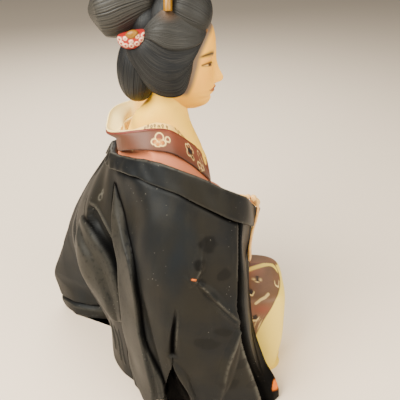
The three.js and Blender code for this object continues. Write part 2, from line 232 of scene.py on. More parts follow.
def rod(knots, flat=1.0, carve=None):
    """A round rod along knots [share, front, right, up, radius], closed by rounded ends."""
    step = 0.01
    end_fullness = 1.6

    def spine(along):
        return curve(knots, along)[:, :3]

    start, end = spine(np.array([0.0, 1.0]))
    runs_sideways = abs(end[1] - start[1]) > 0.9 * np.linalg.norm(end - start)
    level = np.array([1.0, 0.0, 0.0] if runs_sideways else [0.0, 1.0, 0.0])

    def at(around, along):
        middle = curve(knots, along)
        ahead = spine(np.minimum(along + step, 1)) - spine(np.maximum(along - step, 0))
        side = np.cross(level, ahead)
        side /= np.linalg.norm(side, axis=1, keepdims=True)
        rise = np.cross(ahead, side)
        rise /= np.linalg.norm(rise, axis=1, keepdims=True)
        radius = middle[:, 3] * np.minimum(1, end_fullness * np.sqrt(np.abs(np.sin(np.pi * along))))
        radius = radius * (1 + (carve(around, along) if carve else 0))
        angle = 2 * np.pi * around
        wide = (radius * np.cos(angle) * flat)[:, None]
        high = (radius * np.sin(angle))[:, None]
        return tuple((middle[:, :3] + side * wide + rise * high).T)

    return at


def mirrored(at):
    def other(around, along):
        front, right, *rest = at(around, along)
        return (front, -right, *rest)

    return other


# Paint


def colour(red, green, blue):
    """A painter's colour, given as it looks, as a shader's linear one."""
    shades = [value / 255 for value in (red, green, blue)]
    return [shade / 12.92 if shade < 0.04 else ((shade + 0.055) / 1.055) ** 2.4 for shade in shades] + [1]


COOL_SHINE = (0.8, 0.91, 1.0, 1.0)
# A Mix node has several sockets of each name, so the ones for colours go by number.
MIX_SHARE, MIX_UNDER, MIX_TOP = 0, 6, 7
MIX_COLOUR = 2


class Finish:
    """A painted finish: adds shader nodes by kind and wires their sockets."""

    def __init__(self, name, base, roughness, specular=0.5, **sockets):
        self.material = bpy.data.materials.new(name)
        self.material.use_nodes = True
        self.tree = self.material.node_tree
        self.shader = self.tree.nodes["Principled BSDF"]
        self.place = self.add("TexCoord").outputs["Object"]
        self.colour = base
        self.feed(self.shader.inputs["Roughness"], roughness)
        self.feed(self.shader.inputs["Specular IOR Level"], specular)
        for socket, value in sockets.items():
            self.feed(self.shader.inputs[socket.replace("_", " ")], value)

    def feed(self, socket, value):
        if isinstance(value, bpy.types.NodeSocket):
            self.tree.links.new(value, socket)
        else:
            socket.default_value = value

    def add(self, kind, sockets=(), **settings):
        node = self.tree.nodes.new("ShaderNode" + kind)
        for setting, value in settings.items():
            setattr(node, setting, value)
        for socket, value in dict(sockets).items():
            self.feed(node.inputs[socket], value)
        return node

    def mask(self, name):
        return self.add("Attribute", attribute_name=name).outputs["Fac"]

    def scaled(self, stretch):
        sockets = {"Vector": self.place, "Scale": stretch}
        return self.add("Mapping", sockets).outputs["Vector"]

    def lay(self, stretch):
        uv = self.add("UVMap", uv_map="lay").outputs["UV"]
        return self.add("Mapping", {"Vector": uv, "Scale": stretch}).outputs["Vector"]

    def noise(self, scale, detail=3.0, vector=None):
        sockets = {"Vector": vector or self.place, "Scale": scale, "Detail": detail, "Roughness": 0.55}
        return self.add("TexNoise", sockets).outputs["Fac"]

    def spots(self, scale):
        return self.add("TexVoronoi", {"Vector": self.place, "Scale": scale}).outputs["Distance"]

    def ramp(self, value, low, high, bottom=0.0, top=1.0):
        sockets = {"Value": value, "From Min": low, "From Max": high, "To Min": bottom, "To Max": top}
        made = self.add("MapRange", sockets, interpolation_type="SMOOTHSTEP")
        return made.outputs["Result"]

    def combined(self, operation, first, second):
        node = self.add("Math", operation=operation)
        self.feed(node.inputs[0], first)
        self.feed(node.inputs[1], second)
        return node.outputs[0]

    def over(self, share, top):
        """Lays a colour over what is there, as thick as the share says."""
        node = self.add("Mix", data_type="RGBA")
        self.feed(node.inputs[MIX_SHARE], share)
        self.feed(node.inputs[MIX_UNDER], self.colour)
        self.feed(node.inputs[MIX_TOP], top)
        self.colour = node.outputs[MIX_COLOUR]

    def laid(self, masks):
        """Lays the colour of each mask over what is there, in the order given."""
        for name, paint in masks.items():
            self.over(self.mask(name), colour(*paint))

    def done(self, height=None, depth=0.0002, strength=0.6):
        self.feed(self.shader.inputs["Base Color"], self.colour)
        if height is not None:
            bump = self.add("Bump", {"Height": height, "Distance": depth, "Strength": strength})
            self.feed(self.shader.inputs["Normal"], bump.outputs["Normal"])
        return self.material


def coat_paint():
    """Charcoal black, bluish and brownish in places, with dust, stains, wear and painted highlights on
    edges, and painted shade in gaps.
    """
    coat = Finish("painted_charcoal", colour(20, 22, 24), 0.5, Specular_Tint=COOL_SHINE)
    cloud = coat.noise(26, 4)
    coat.over(coat.ramp(cloud, 0.42, 0.66), colour(30, 29, 25))
    blue = coat.noise(19, 3, coat.scaled((1, 1, 0.6)))
    coat.over(coat.ramp(blue, 0.5, 0.72), colour(22, 27, 32))
    streaks = coat.noise(90, 5, coat.scaled((1, 1, 0.25)))
    coat.over(coat.ramp(streaks, 0.5, 0.8, 0, 0.5), colour(38, 38, 35))
    # pale paint: worn edges and the crest, with painted highlight on raised folds and edges
    pale_wear_and_highlight = coat.combined("MULTIPLY", coat.mask("rub"), coat.ramp(coat.noise(420, 2), 0.25, 0.5))
    coat.over(pale_wear_and_highlight, colour(80, 80, 74))
    coat.over(coat.combined("MULTIPLY", coat.mask("stain"), 0.7), colour(10, 10, 10))
    # painted shade: near black in gaps, grooves and recesses, under the collar band, on the front bands and
    # inside the coat
    coat.laid({"gap": (3, 3, 4)})
    dusty = coat.ramp(coat.noise(60, 2), 0.54, 0.64)
    dust = coat.combined("MULTIPLY", coat.ramp(coat.spots(420), 0.12, 0.04), dusty)
    coat.over(coat.combined("MULTIPLY", dust, 0.8), colour(140, 140, 132))
    coat.laid({"chip": (222, 116, 38)})
    dullness = coat.ramp(cloud, 0.3, 0.7, 0.42, 0.52)
    polish = coat.combined("MULTIPLY", coat.mask("stain"), 0.12)
    coat.feed(coat.shader.inputs["Roughness"], coat.combined("SUBTRACT", dullness, polish))
    # where the painted shade lies the coat also shines less
    shine = coat.ramp(coat.mask("gap"), 0, 1, 0.14, 0.01)
    coat.feed(coat.shader.inputs["Specular IOR Level"], shine)
    grain = coat.combined("ADD", coat.noise(520, 4), coat.combined("MULTIPLY", coat.noise(60, 3), 2.0))
    return coat.done(grain, 0.00012, 0.4)


def hair_paint():
    """Grey-black combed hair, with painted shade between the strands and painted highlights on them."""
    hair = Finish("combed_black", colour(22, 24, 27), 0.45, 0.22, Specular_Tint=COOL_SHINE)
    fine = hair.noise(1.0, 4, hair.lay((190, 2.2, 1)))
    hair.over(hair.ramp(fine, 0.45, 0.62), colour(39, 40, 40))
    coarse = hair.noise(1.0, 3, hair.lay((60, 1.4, 1)))
    hair.over(hair.ramp(coarse, 0.55, 0.75, 0, 0.7), colour(14, 14, 15))
    # painted highlight and pale paint, painted shade between the strands, a reddish rim, and skin at the
    # edges
    hair.laid({"pale": (66, 66, 62), "gap": (5, 5, 6), "rim": (112, 62, 48), "skin": (214, 150, 80)})
    return hair.done(fine, 0.00025, 0.8)


def skin_paint(name, base, second):
    """Warm cream skin with painted brows, eyes and lips."""
    skin = Finish(name, base, 0.5, 0.32, Subsurface_Weight=0.06, Subsurface_Scale=0.002)
    skin.over(skin.ramp(skin.noise(70, 3), 0.45, 0.75, 0, 0.5), second)
    skin.over(skin.ramp(skin.noise(160, 4), 0.58, 0.75, 0, 0.25), colour(232, 178, 66))
    skin.laid({
        "blush": (232, 142, 56), "shade": (170, 138, 72), "hairline": (84, 84, 88), "brow": (50, 42, 26),
        "white": (226, 184, 110), "iris": (66, 34, 18), "lash": (38, 25, 16), "lips": (134, 38, 28),
    })
    return skin.done(skin.noise(420, 4), 0.00008, 0.5)


def cloth_paint(name, base, second):
    """Kimono colours laid over each other by their masks."""
    cloth = Finish(name, base, 0.55)
    cloth.over(cloth.ramp(cloth.noise(55, 4), 0.42, 0.68), second)
    cloth.over(cloth.ramp(cloth.noise(240, 4), 0.55, 0.78, 0, 0.35), colour(70, 50, 32))
    cloth.laid({
        "salmon": (198, 118, 80), "rose": (128, 66, 44), "cap": (104, 66, 46), "lining": (242, 216, 92),
        "cream": (246, 218, 138), "gold": (206, 128, 26), "dark": (30, 18, 14), "seam": (48, 24, 16),
    })
    return cloth.done(cloth.noise(500, 4), 0.0001, 0.5)


def plain_paint(name, base, second, rough=0.5, scale=120):
    plain = Finish(name, base, rough)
    plain.over(plain.ramp(plain.noise(scale, 4), 0.4, 0.7), second)
    return plain.done(plain.noise(scale * 3, 4), 0.0001, 0.6)


def cream_paint():
    """Cream under-collar, with greenish painted shade deep inside it, and a sparse worked edge."""
    cream = Finish("painted_cream", colour(254, 236, 162), 0.52)
    cream.over(cream.ramp(cream.noise(60, 4), 0.5, 0.75, 0, 0.5), colour(240, 206, 130))
    cream.laid({"warm": (254, 208, 96), "shade": (158, 138, 80), "marks": (92, 72, 26)})
    return cream.done(cream.noise(380, 4), 0.0001, 0.5)


def dappled_paint():
    """Red tie-dyed cloth with small white rings."""
    dapple = Finish("dappled_red", colour(156, 26, 14), 0.6)
    dapple.over(dapple.ramp(dapple.noise(160, 3), 0.45, 0.7, 0, 0.6), colour(120, 16, 10))
    dapple.laid({"rings": (240, 206, 176)})
    return dapple.done(dapple.noise(500, 3), 0.0001, 0.5)


def comb_paint():
    comb = Finish("lacquered_comb", colour(128, 100, 66), 0.4)
    comb.over(comb.ramp(comb.noise(110, 4), 0.4, 0.7), colour(98, 72, 44))
    comb.laid({"gold": (132, 94, 2), "lines": (88, 56, 4)})
    return comb.done(comb.noise(400, 3), 0.00008, 0.5)


# Haori: the coat's plan radius about an upright axis, by bearing from the front
# towards her right, each row a curve of [up, radius].

COAT_AXIS = -25
COAT_MEAN_RADIUS = 50
COAT_BAND_THICKNESS = 3.2
COAT_PLAN = [
    [10, [[0, 87], [13, 85.5], [25, 76], [40, 67.5], [60, 59], [87, 55], [105, 55.5], [122, 55.5]]],
    [30, [[0, 88], [13, 85.5], [25, 76], [40, 68], [60, 62.8], [90, 59.8], [110, 58.8], [124, 58.5],
          [136, 58]]],
    [45, [[0, 82], [10, 81], [40, 76], [66, 73], [100, 67], [134, 58], [147, 55.5]]],
    [65, [[0, 65], [30, 66], [66, 66], [100, 63], [125, 57], [142, 51.5], [158, 46.5]]],
    [90, [[0, 55], [30, 57], [60, 58], [102, 57], [130, 48], [149, 37], [160, 32]]],
    [112, [[0, 40], [30, 41], [60, 43], [108, 40], [130, 34], [150, 31], [158, 26]]],
    [135, [[0, 37], [40, 37], [80, 40], [110, 36], [138, 30], [151, 27], [156, 23]]],
    [160, [[0, 36], [30, 36], [60, 42], [85, 46], [110, 42], [130, 33], [149, 27], [154, 24]]],
    [180, [[0, 36], [30, 38], [60, 46], [83, 49], [113, 45], [135, 33.5], [143, 30], [152, 25.5]]],
    [195, [[0, 37], [20, 44], [45, 56], [74, 61], [97, 57], [121, 45], [141, 32], [152, 26.5]]],
    [204.3, [[0, 41], [20, 49], [36, 57], [45, 62], [74, 68.5], [97, 61.5], [121, 48], [141, 34],
             [152, 28.5]]],
    [206.4, [[0, 82], [8, 86], [18, 89], [30, 92], [45, 86.5], [74, 75], [97, 64.5], [121, 49.5],
             [141, 35.5], [151, 29.5]]],
    [222, [[0, 88], [26, 90], [50, 81], [74, 71.5], [97, 63], [121, 49.5], [141, 37], [150, 32]]],
    [245, [[0, 76], [26, 74], [74, 64], [110, 54], [135, 43], [146, 37]]],
    [270, [[0, 58], [30, 60], [66, 61], [102, 60], [130, 53]]],
    [295, [[0, 65], [30, 66], [66, 66], [100, 63], [110, 61]]],
    [315, [[0, 82], [10, 81], [40, 76], [66, 73], [101, 66]]],
    [330, [[0, 85], [13, 83], [25, 75], [40, 69], [60, 65], [90, 62], [105, 60]]],
    [350, [[0, 84], [13, 83], [40, 68], [60, 61], [87, 58], [110, 59]]],
]
# Height of its upper edge, by bearing.
COAT_TOP = [
    [10, 119], [18, 124.5], [26, 132.5], [35, 140], [47, 148], [56, 154], [64, 157.5], [75, 160],
    [95, 159.5], [118, 157], [147, 154.4], [180, 151.8], [200, 151], [222, 148], [245, 141],
    [270, 124], [285, 109], [297, 98], [307, 95.5], [317, 96], [327, 99], [335, 102.5], [342, 105.5],
    [350, 109],
]
# Bearing of the front opening's edge, by height.
COAT_OPENING = [[0, 31], [13, 31], [25, 30], [40, 28], [60, 24], [73, 20], [87, 15], [122, 11]]


def coat_radius(bearing, up):
    radii = np.stack([curve(profile, up) for _, profile in COAT_PLAN])
    return across([angle for angle, _ in COAT_PLAN], radii, np.clip(bearing, 10, 350))


def off_axis(bearing, radius, up):
    turn = np.radians(bearing)
    return COAT_AXIS + radius * np.cos(turn), radius * np.sin(turn), up


# Width of the slanting collar band, down from the upper edge, by bearing.
COAT_BAND_DROP = [
    [10, 9.5], [14, 12], [20, 14.5], [26, 16.2], [32, 17], [51, 16.3], [62, 14.7], [73, 12], [87, 10.6],
    [110, 7.4], [147, 7.4], [180, 8], [215, 9.5], [245, 12], [275, 14], [305, 11], [330, 12], [350, 10],
]


# Folds of the coat, along [bearing, up, half width, lift off the surface].
COAT_RIDGES = [
    # rolled back edge of the right sleeve
    [[138, 139, 1.5, -1.5], [131, 126, 5.5, -3], [121, 113, 6.5, -2], [113, 97, 8, -2], [110, 72, 7.5, -1],
     [107, 43, 8, -1], [103, 20, 7.5, -1], [98, 4, 5, -1]],
    # leaf-shaped fold of the back
    [[180, 104, 1, -1], [168, 97, 6, -3], [157, 88, 10, -5.5], [148, 76, 11, -6], [140, 62, 9, -5],
     [134, 50, 4, -2.5]],
    # from the elbow up, on to the wrist, and down from the wrist
    [[71, 100, 2, -1], [67, 108, 4, -2], [65, 116, 4, -3], [63, 126, 2, -2]],
    [[75, 105, 1, -0.8], [63, 94, 4.5, -3.2], [57, 83, 5, -3.6], [50, 71, 5, -3.4], [47, 64, 1.5, -0.8]],
    [[48, 68, 1.5, -0.8], [52, 55, 5, -3.4], [55, 38, 6, -4.2], [59, 14, 3, -2.2]],
    # edge of the front panel of the sleeve
    [[83, 48, 1.5, -1], [78, 34, 5, -2], [75, 22, 5, -2], [70, 5, 4, -2]],
    # the left side, plainer
    [[228, 136, 1.5, -1], [240, 112, 6, -2], [249, 76, 7, -2], [253, 40, 7, -2], [255, 5, 5, -2]],
    [[286, 100, 1, -0.5], [298, 86, 5, -2.2], [307, 72, 5, -2], [314, 62, 1.5, -0.5]],
    [[313, 68, 1.5, -0.5], [308, 50, 5, -2.2], [304, 32, 6, -3], [301, 12, 3, -2]],
]
COAT_GROOVES = [
    # before the rolled edge
    [[100, 96, 0.6, 0.5], [96, 72, 2.5, 1], [91, 44, 2.5, 1], [86, 14, 2.5, 1]],
    # beside the leaf fold
    [[200, 110, 1, 0.5], [196, 95, 3.5, 1.8], [186, 80, 4, 1.8], [172, 60, 4, 1.8], [158, 44, 3, 1.5]],
    # seam of the trailing hem
    [[201, 17, 0.8, 0.3], [206, 11, 1.6, 0.6], [230, 9, 1.8, 0.6], [250, 9, 0.8, 0.3]],
    # the left side, plainer
    [[279, 88, 0.6, 0.3], [278, 66, 3, 0.5], [277, 40, 3, 0.5], [276, 12, 2.5, 0.5]],
]
# Sharp lines, along [bearing, up, half width, height], raised or cut in.
COAT_LINES = [
    # arched folds beside the leaf
    [[174, 120.5, 0.5, 0.4], [160, 120.5, 0.6, 1.0], [147, 117, 0.6, 1.1], [136, 110.5, 0.6, 0.9],
     [125, 101, 0.5, 0.3]],
    [[186, 120, 0.6, 0.3], [182, 114, 0.7, 0.9], [177, 110.5, 0.7, 0.8], [171, 110, 0.6, 0.3]],
    # elbow: up, and on to the wrist, with the sunk line beside it
    [[68.7, 103.5, 0.5, 0.7], [66.5, 108, 0.6, 0.8], [65.2, 113, 0.6, 0.6], [63.8, 120, 0.5, 0.2]],
    [[69.5, 103.2, 0.5, 0.7], [64.3, 95.8, 0.5, 1.1], [56.4, 82.8, 0.5, 1.0], [48.3, 69.2, 0.5, 0.8]],
    [[68, 99, 0.6, -0.6], [64.6, 93.4, 1.0, -1.2], [58.2, 82.8, 0.8, -1.0], [51, 71, 0.6, -0.5]],
    [[63, 91, 0.4, 0.3], [57, 79.5, 0.5, 0.6], [51, 70, 0.4, 0.4]],
    # from the wrist down
    [[47.5, 67, 0.6, 0.5], [51.3, 58, 0.7, 1.0], [54.1, 48.5, 0.7, 1.0], [56.2, 35, 0.7, 0.8],
     [58.5, 10, 0.6, 0.4]],
    # slit of the sleeve: a narrow dark line with a raised lip on its right
    [[78.6, 86, 0.5, -0.4], [79.4, 77, 0.9, -1.8], [80.2, 68, 1.3, -2.8], [80.7, 58, 1.8, -3.2],
     [80.9, 48, 2.2, -3.2]],
    [[77.4, 84, 0.4, 0.2], [78.1, 76, 0.5, 0.6], [78.8, 66, 0.5, 0.8], [79.4, 56, 0.5, 0.8],
     [79.8, 48, 0.4, 0.4]],
    # seam of the trailing hem
    [[201, 17, 0.6, -0.4], [203, 15, 0.8, -1.4], [206.5, 10.5, 0.9, -1.8], [222, 9, 0.9, -1.8],
     [250, 9, 0.8, -0.8]],
    # small folds of the back below the leaf
    [[154, 38, 0.6, 0.5], [151, 28, 0.8, 1.0], [148, 14, 0.7, 0.6]],
    [[146, 38, 0.6, 0.4], [141, 26, 0.8, 1.0], [136, 10, 0.7, 0.6]],
    [[138, 38, 0.6, 0.4], [133, 24, 0.8, 0.9], [129, 10, 0.7, 0.4]],
]
# Layers of cloth between a left and a right edge, each a path of [bearing, up], with
# the height, how wide each edge is rounded, and how dark the painted shadow in the gap outside each edge is.
COAT_LAYERS = [
    # the rolled edge
    ([[140, 139], [137, 126], [133.5, 119.5], [128.5, 111.5], [123, 100.5], [121.5, 89], [120.5, 74],
      [121, 55], [121, 35], [121, 16], [117, 1]],
     [[137.5, 139], [130, 133], [122, 126.5], [114, 117], [107, 110], [103.5, 101], [102, 92],
      [100.5, 80], [99.3, 66], [97.5, 54], [93.5, 43], [89.8, 34], [87.2, 25.8], [86.4, 16], [86, 6],
      [92, 1]],
     2.2, 2.6, 1.2, 0.9, 1.0),
    # the leaf
    ([[182, 105], [182, 96], [178, 87], [172, 76], [165, 64], [157, 54], [149, 48.5], [140, 47],
      [130, 47.5], [122, 51]],
     [[180, 108], [170, 109], [159, 108.5], [149, 104.5], [140, 99], [133, 93.5], [127, 87],
      [123.5, 78], [121.5, 66], [120.5, 54]],
     2.6, 4.0, 3.2, 0.5, 0.9),
    # the trailing hem
    ([[252, 8.5], [230, 8], [209, 8.5], [203, 13]], [[252, 0], [230, 0], [209, 0], [203, 1]],
     2.0, 3.5, 2.5, 0.3, 0),
]
# Sunk places between a left and a right edge, with the depth, how wide each edge is
# rounded, how dark the painted shade inside is, and, on the steeper edge, whether it gets painted shade and
# how strong its painted highlight is.
COAT_RECESSES = [
    # the gap between the leaf and the arch over it, sunk and painted in shade
    ([[168, 111.5], [158, 110], [149, 105.5], [140, 100], [133, 94.5], [127, 89], [124, 83]],
     [[170, 119], [156, 118.5], [146, 114.5], [137, 108.5], [129, 102], [123.5, 96], [122, 87]],
     3.4, 1.5, 2.6, 0.85, 0),
    # inside of the sleeve, below the slit
    ([[81.3, 48], [81.8, 41.5], [83.6, 33], [85.5, 23.5], [86.6, 12.5], [86.8, 0]],
     [[81, 48], [80.9, 41], [78.6, 34], [75.6, 25.8], [72, 15], [69.5, 0]],
     5.5, 0.9, 0.8, 1.0, 0),
    # before the front panel
    ([[39.6, 128], [42.4, 117], [45, 109], [47.2, 101], [48.7, 90], [49.9, 81], [49.6, 73.8],
      [48.7, 60], [46.8, 45.7], [44, 30.7], [42.2, 19.6], [41, 8], [41, 1]],
     [[35.4, 127], [38.2, 117], [41, 109], [43.4, 101], [45, 90], [46.1, 81], [45.8, 73.8], [44.9, 60],
      [42.8, 45.7], [39.6, 30.7], [37.4, 19.6], [36, 8], [36, 1]],
     3.0, 0.9, 2.6, 0.95, 1),
    # the same on her left, plainer
    ([[320, 100], [318, 84], [318.5, 62], [321, 40], [324.5, 14], [325, 1]],
     [[313.5, 100], [312, 84], [313, 62], [315.5, 40], [319.5, 14], [320, 1]],
     2.4, 3.0, 2.0, 0.8, 0),
]


def trace(path, bearing, up):
    """Distance to a path laid on the coat, and the path's own values at the nearest point."""
    steps = 30
    knots = spaced(path)
    line = curve(knots, np.linspace(0, 1, steps))
    radius = coat_radius(line[:, 0], line[:, 1]).mean()
    line_x = np.radians(line[:, 0]) * radius
    line_y = line[:, 1]
    x = np.radians(bearing) * radius
    best = np.full(len(x), 1e9)
    way = np.zeros(len(x))
    for i in range(steps - 1):
        dx, dy = line_x[i + 1] - line_x[i], line_y[i + 1] - line_y[i]
        t = np.clip(((x - line_x[i]) * dx + (up - line_y[i]) * dy) / (dx * dx + dy * dy), 0, 1)
        away = np.hypot(x - line_x[i] - t * dx, up - line_y[i] - t * dy)
        way = np.where(away < best, (i + t) / (steps - 1), way)
        best = np.minimum(away, best)
    return best, way, curve(knots, way)[:, 2:]


def between(left, right, bearing, up):
    """Whether each point lies between two edges, and its distance to either, below zero outside."""
    to_left, _, _ = trace(left, bearing, up)
    to_right, _, _ = trace(right, bearing, up)
    share = np.linspace(0, 1, 18)
    sides = [curve(spaced(path), share) for path in (left, right)]
    corners = np.concatenate([sides[0], sides[1][::-1]])
    inside = np.zeros(len(bearing), bool)
    for (ax, ay), (bx, by) in zip(corners, np.roll(corners, -1, 0)):
        if ay == by:
            continue
        crosses = (ay > up) != (by > up)
        inside ^= crosses & (bearing < ax + (up - ay) / (by - ay) * (bx - ax))
    sign = np.where(inside, 1, -1)
    return inside, sign * to_left, sign * to_right


def rounded_edge(away, rim):
    return np.sqrt(1 - (1 - np.clip(away / rim, 0, 1)) ** 2)


def coat_relief(bearing, up):
    """How far the folds stand out of the coat's plan, with masks of painted shade in its gaps and of wear
    and painted highlight on its edges and folds.
    """
    relief = np.zeros(len(bearing))
    gap = np.zeros(len(bearing))
    rub = np.zeros(len(bearing))
    for path in COAT_RIDGES:
        away, _, values = trace(path, bearing, up)
        half, lift = values.T
        dome = np.sqrt(np.maximum(half**2 - away**2, 0)) + lift - 3 * smooth(1, 1.6, away / half)
        relief = soft_max(relief, dome, 1.6)
    for path in COAT_GROOVES:
        away, _, values = trace(path, bearing, up)
        half, lift = values.T
        bowl = lift - np.sqrt(np.maximum(half**2 - away**2, 0)) + 3 * smooth(1, 1.6, away / half)
        relief = -soft_max(-relief, -bowl, 1.2)
        # painted shade along the middle of each deep groove
        gap = np.maximum(gap, smooth(2.5, 6, half - lift) * hump(away, 0, 0.5 * half) * 0.6)
    for left, right, height, left_rim, right_rim, left_dark, right_dark in COAT_LAYERS:
        inside, to_left, to_right = between(left, right, bearing, up)
        standing = inside * rounded_edge(to_left, left_rim) * rounded_edge(to_right, right_rim)
        relief += height * standing * mix(1, 0.3, smooth(104, 128, up))
        # painted highlight on the raised layers
        rub = np.maximum(rub, 0.07 * height * standing * smooth(3, 12, up))
        # painted shadow in the gap outside each edge of a layer
        shadow = np.maximum(left_dark * hump(to_left, -0.8, 1.1), right_dark * hump(to_right, -0.8, 1.2))
        gap = np.maximum(gap, shadow)
        # a pale line of painted highlight beside each edge of a layer
        rub = np.maximum(rub, np.maximum(hump(to_left, 1.2, 0.8), hump(to_right, 0.9, 0.6)) * 0.3)
    for left, right, depth, left_rim, right_rim, dark, wall_dark in COAT_RECESSES:
        inside, to_left, to_right = between(left, right, bearing, up)
        sunk = inside * rounded_edge(to_left, left_rim) * rounded_edge(to_right, right_rim)
        relief -= depth * sunk
        # over the leaf the painted shade in the gap fades towards the top
        over_leaf = (bearing > 121) & (bearing < 180)
        gap = np.maximum(gap, dark * np.where(over_leaf, mix(0.3, 1, smooth(112, 100, up)), 1) * sunk)
        wall = to_left if left_rim < right_rim else to_right
        # painted shade on the steeper wall of a recess
        gap = np.maximum(gap, smooth(-0.3, 0.5, wall) * hump(wall, 0.8, 1.6) * (wall_dark > 0))
        # painted highlight along the steeper wall, strongest low down
        wall_highlight = np.where(up > 98, 0.4, np.where(up < 58, 0.9, 0.1)) * wall_dark
        rub = np.maximum(rub, hump(wall, -0.7, mix(0.6, 1.3, smooth(60, 40, up))) * wall_highlight)
    for path in COAT_LINES:
        away, way, values = trace(path, bearing, up)
        half, height = values.T
        taper = smooth(0, 0.06, way) * smooth(1, 0.94, way)
        crease = hump(away, 0, 0.8 * half) * taper
        relief += height * hump(away, 0, half) * taper
        # painted shade along the lines that are cut in
        gap = np.maximum(gap, smooth(0.8, 2.4, -height) * crease)
        # raised lines get a pale line of painted highlight and wear
        rub = np.maximum(rub, 0.75 * smooth(0.3, 1.1, height) * crease)
    relief += 0.4 * wander(np.radians(bearing) * COAT_MEAN_RADIUS, up, 34, seed=4) * smooth(0, 12, up)
    return relief, gap, rub


# Polished stains, each [bearing, up, size].
COAT_STAINS = [
    [60.5, 121, 4.6], [66.5, 111.5, 3.2], [65.3, 99.5, 2.4], [54, 102, 3.6], [62, 91, 3.0],
    [57, 66, 3.6], [63, 58, 4.2], [49, 40, 3.6], [55, 26, 4.0], [68, 60, 3.2], [45, 22, 3.0],
    [215, 38, 7.0], [226, 30, 5.0],
]
# The crest on her back, at [bearing, up].
CREST = [161, 126.5]
# Chips, each [bearing, up, width, height].
COAT_CHIPS = [[69.9, 103.2, 1.5, 0.6], [32.2, 10.6, 2.3, 3.7]]


def patches(places, bearing, up):
    """Soft round patches at [bearing, up, size], uneven in outline."""
    arc = 55
    total = np.zeros(len(bearing))
    uneven = 0.21 * wander(np.radians(bearing) * arc, up, 7, seed=11)
    for at, height, *size in places:
        x = np.radians(bearing - at) * arc / size[0]
        y = (up - height) / size[-1]
        total = np.maximum(total, smooth(1.15, 0.75, np.hypot(x, y) + uneven))
    return total


# Columns of a front band by their share of it: how far behind the opening's edge they
# lie, and how far out of the plan, below zero inside the coat.
STRIP_WAYS = [0, 0.12, 0.2, 0.28, 0.42, 0.5, 0.56, 0.62, 0.86, 0.9, 0.93, 0.96, 1]
STRIP_OFFSETS = [-1, -1, -0.9, -0.5, -0.2, 0, 0.4, 1.1, 8.2, 8.7, 9.0, 9.3, 10.4]
STRIP_OUTS = [-26, -26, -25, -22, -4, -1.2, 0.4, 0.8, 0.8, 0.6, 0.4, 0.2, 0]


def coat_column(way, up):
    """Bearing of a column on her right and how far it stands out of the plan there."""
    edge = curve(COAT_OPENING, up)
    per_degree = np.radians(1) * coat_radius(edge, up)
    bearing = edge + np.interp(way, STRIP_WAYS, STRIP_OFFSETS) / per_degree
    inner = np.interp(way, [0, 0.1, 0.2], [0, 0.6, 1])
    return np.where(way < 0.2, bearing * inner, bearing), np.interp(way, STRIP_WAYS, STRIP_OUTS)


# Columns stand closest where the folds of her right sleeve are.
COAT_COLUMNS = [0, 0.25, 0.38, 0.66, 0.8, 1]
COAT_TURNS = [0, 0.125, 0.21, 0.45, 0.64, 1]


COAT_BROW = 122.0
COAT_FOOT = 1.0
LINING_DEPTH = 9
# Share of the columns in each front band, and of the rows at the rim's and the body's end.
STRIP_SHARE = 0.06
RIM_END = 0.07
BODY_END = 0.975
# The rolled edge ends a little above the ground, by bearing.
ROLLED_END = [[84.5, 0], [86.5, 13], [90, 10.5], [93, 7.5], [98, 4], [105, 0]]
# Near side of the trailing hem, each [bearing, front, right].
HEM_SIDE = [[204.2, -65.5, -25.3], [205.85, -86, -28], [206.4, -93, -31.5]]


def coat_bearing(around, up):
    """Bearing of each column round the whole coat, and how far it stands out there."""
    strip = np.minimum(np.minimum(around, 1 - around) / STRIP_SHARE, 1)
    near, out = coat_column(strip, up)
    end, _ = coat_column(np.ones_like(up), up)
    way = np.clip((around - STRIP_SHARE) / (1 - 2 * STRIP_SHARE), 0, 1)
    turn = np.interp(way, COAT_COLUMNS, COAT_TURNS)
    near = np.where(around > 0.5, 360 - near, near)
    return np.where(strip < 1, near, mix(end, 360 - end, turn)), np.where(strip < 1, out, 0)


def coat_rows(along, top):
    """Height of each row, and how far it lies inside the coat's plan."""
    down = np.interp(along, [0, 0.02, 0.05, 0.06, RIM_END], [1, 1, 0.1, 0, 0])
    depths = [LINING_DEPTH, LINING_DEPTH, COAT_BAND_THICKNESS, 1.2, 0]
    inward = np.interp(along, [0, 0.02, 0.05, 0.062, RIM_END], depths)
    even = np.clip((along - RIM_END) / (BODY_END - RIM_END), 0, 1)
    body = smooth(RIM_END, BODY_END, along) * 0.25 + even * 0.75
    up = np.where(along < RIM_END, top - LINING_DEPTH * down, mix(top, COAT_FOOT, body))
    under = [BODY_END, 0.985, 1]
    up = np.where(along > BODY_END, np.interp(along, under, [COAT_FOOT, 0, 0]), up)
    tucked = np.interp(along, under, [0, COAT_FOOT, COAT_FOOT])
    return up, np.where(along > BODY_END, tucked, inward)


def crest(bearing, up):
    """A small light ring with a smaller one over it."""
    x = np.radians(bearing - CREST[0]) * 35
    y = up - CREST[1]
    return hump(np.hypot(x, y), 1.7, 0.5) + hump(np.hypot(x + 0.4, y - 3.4), 1.1, 0.5)


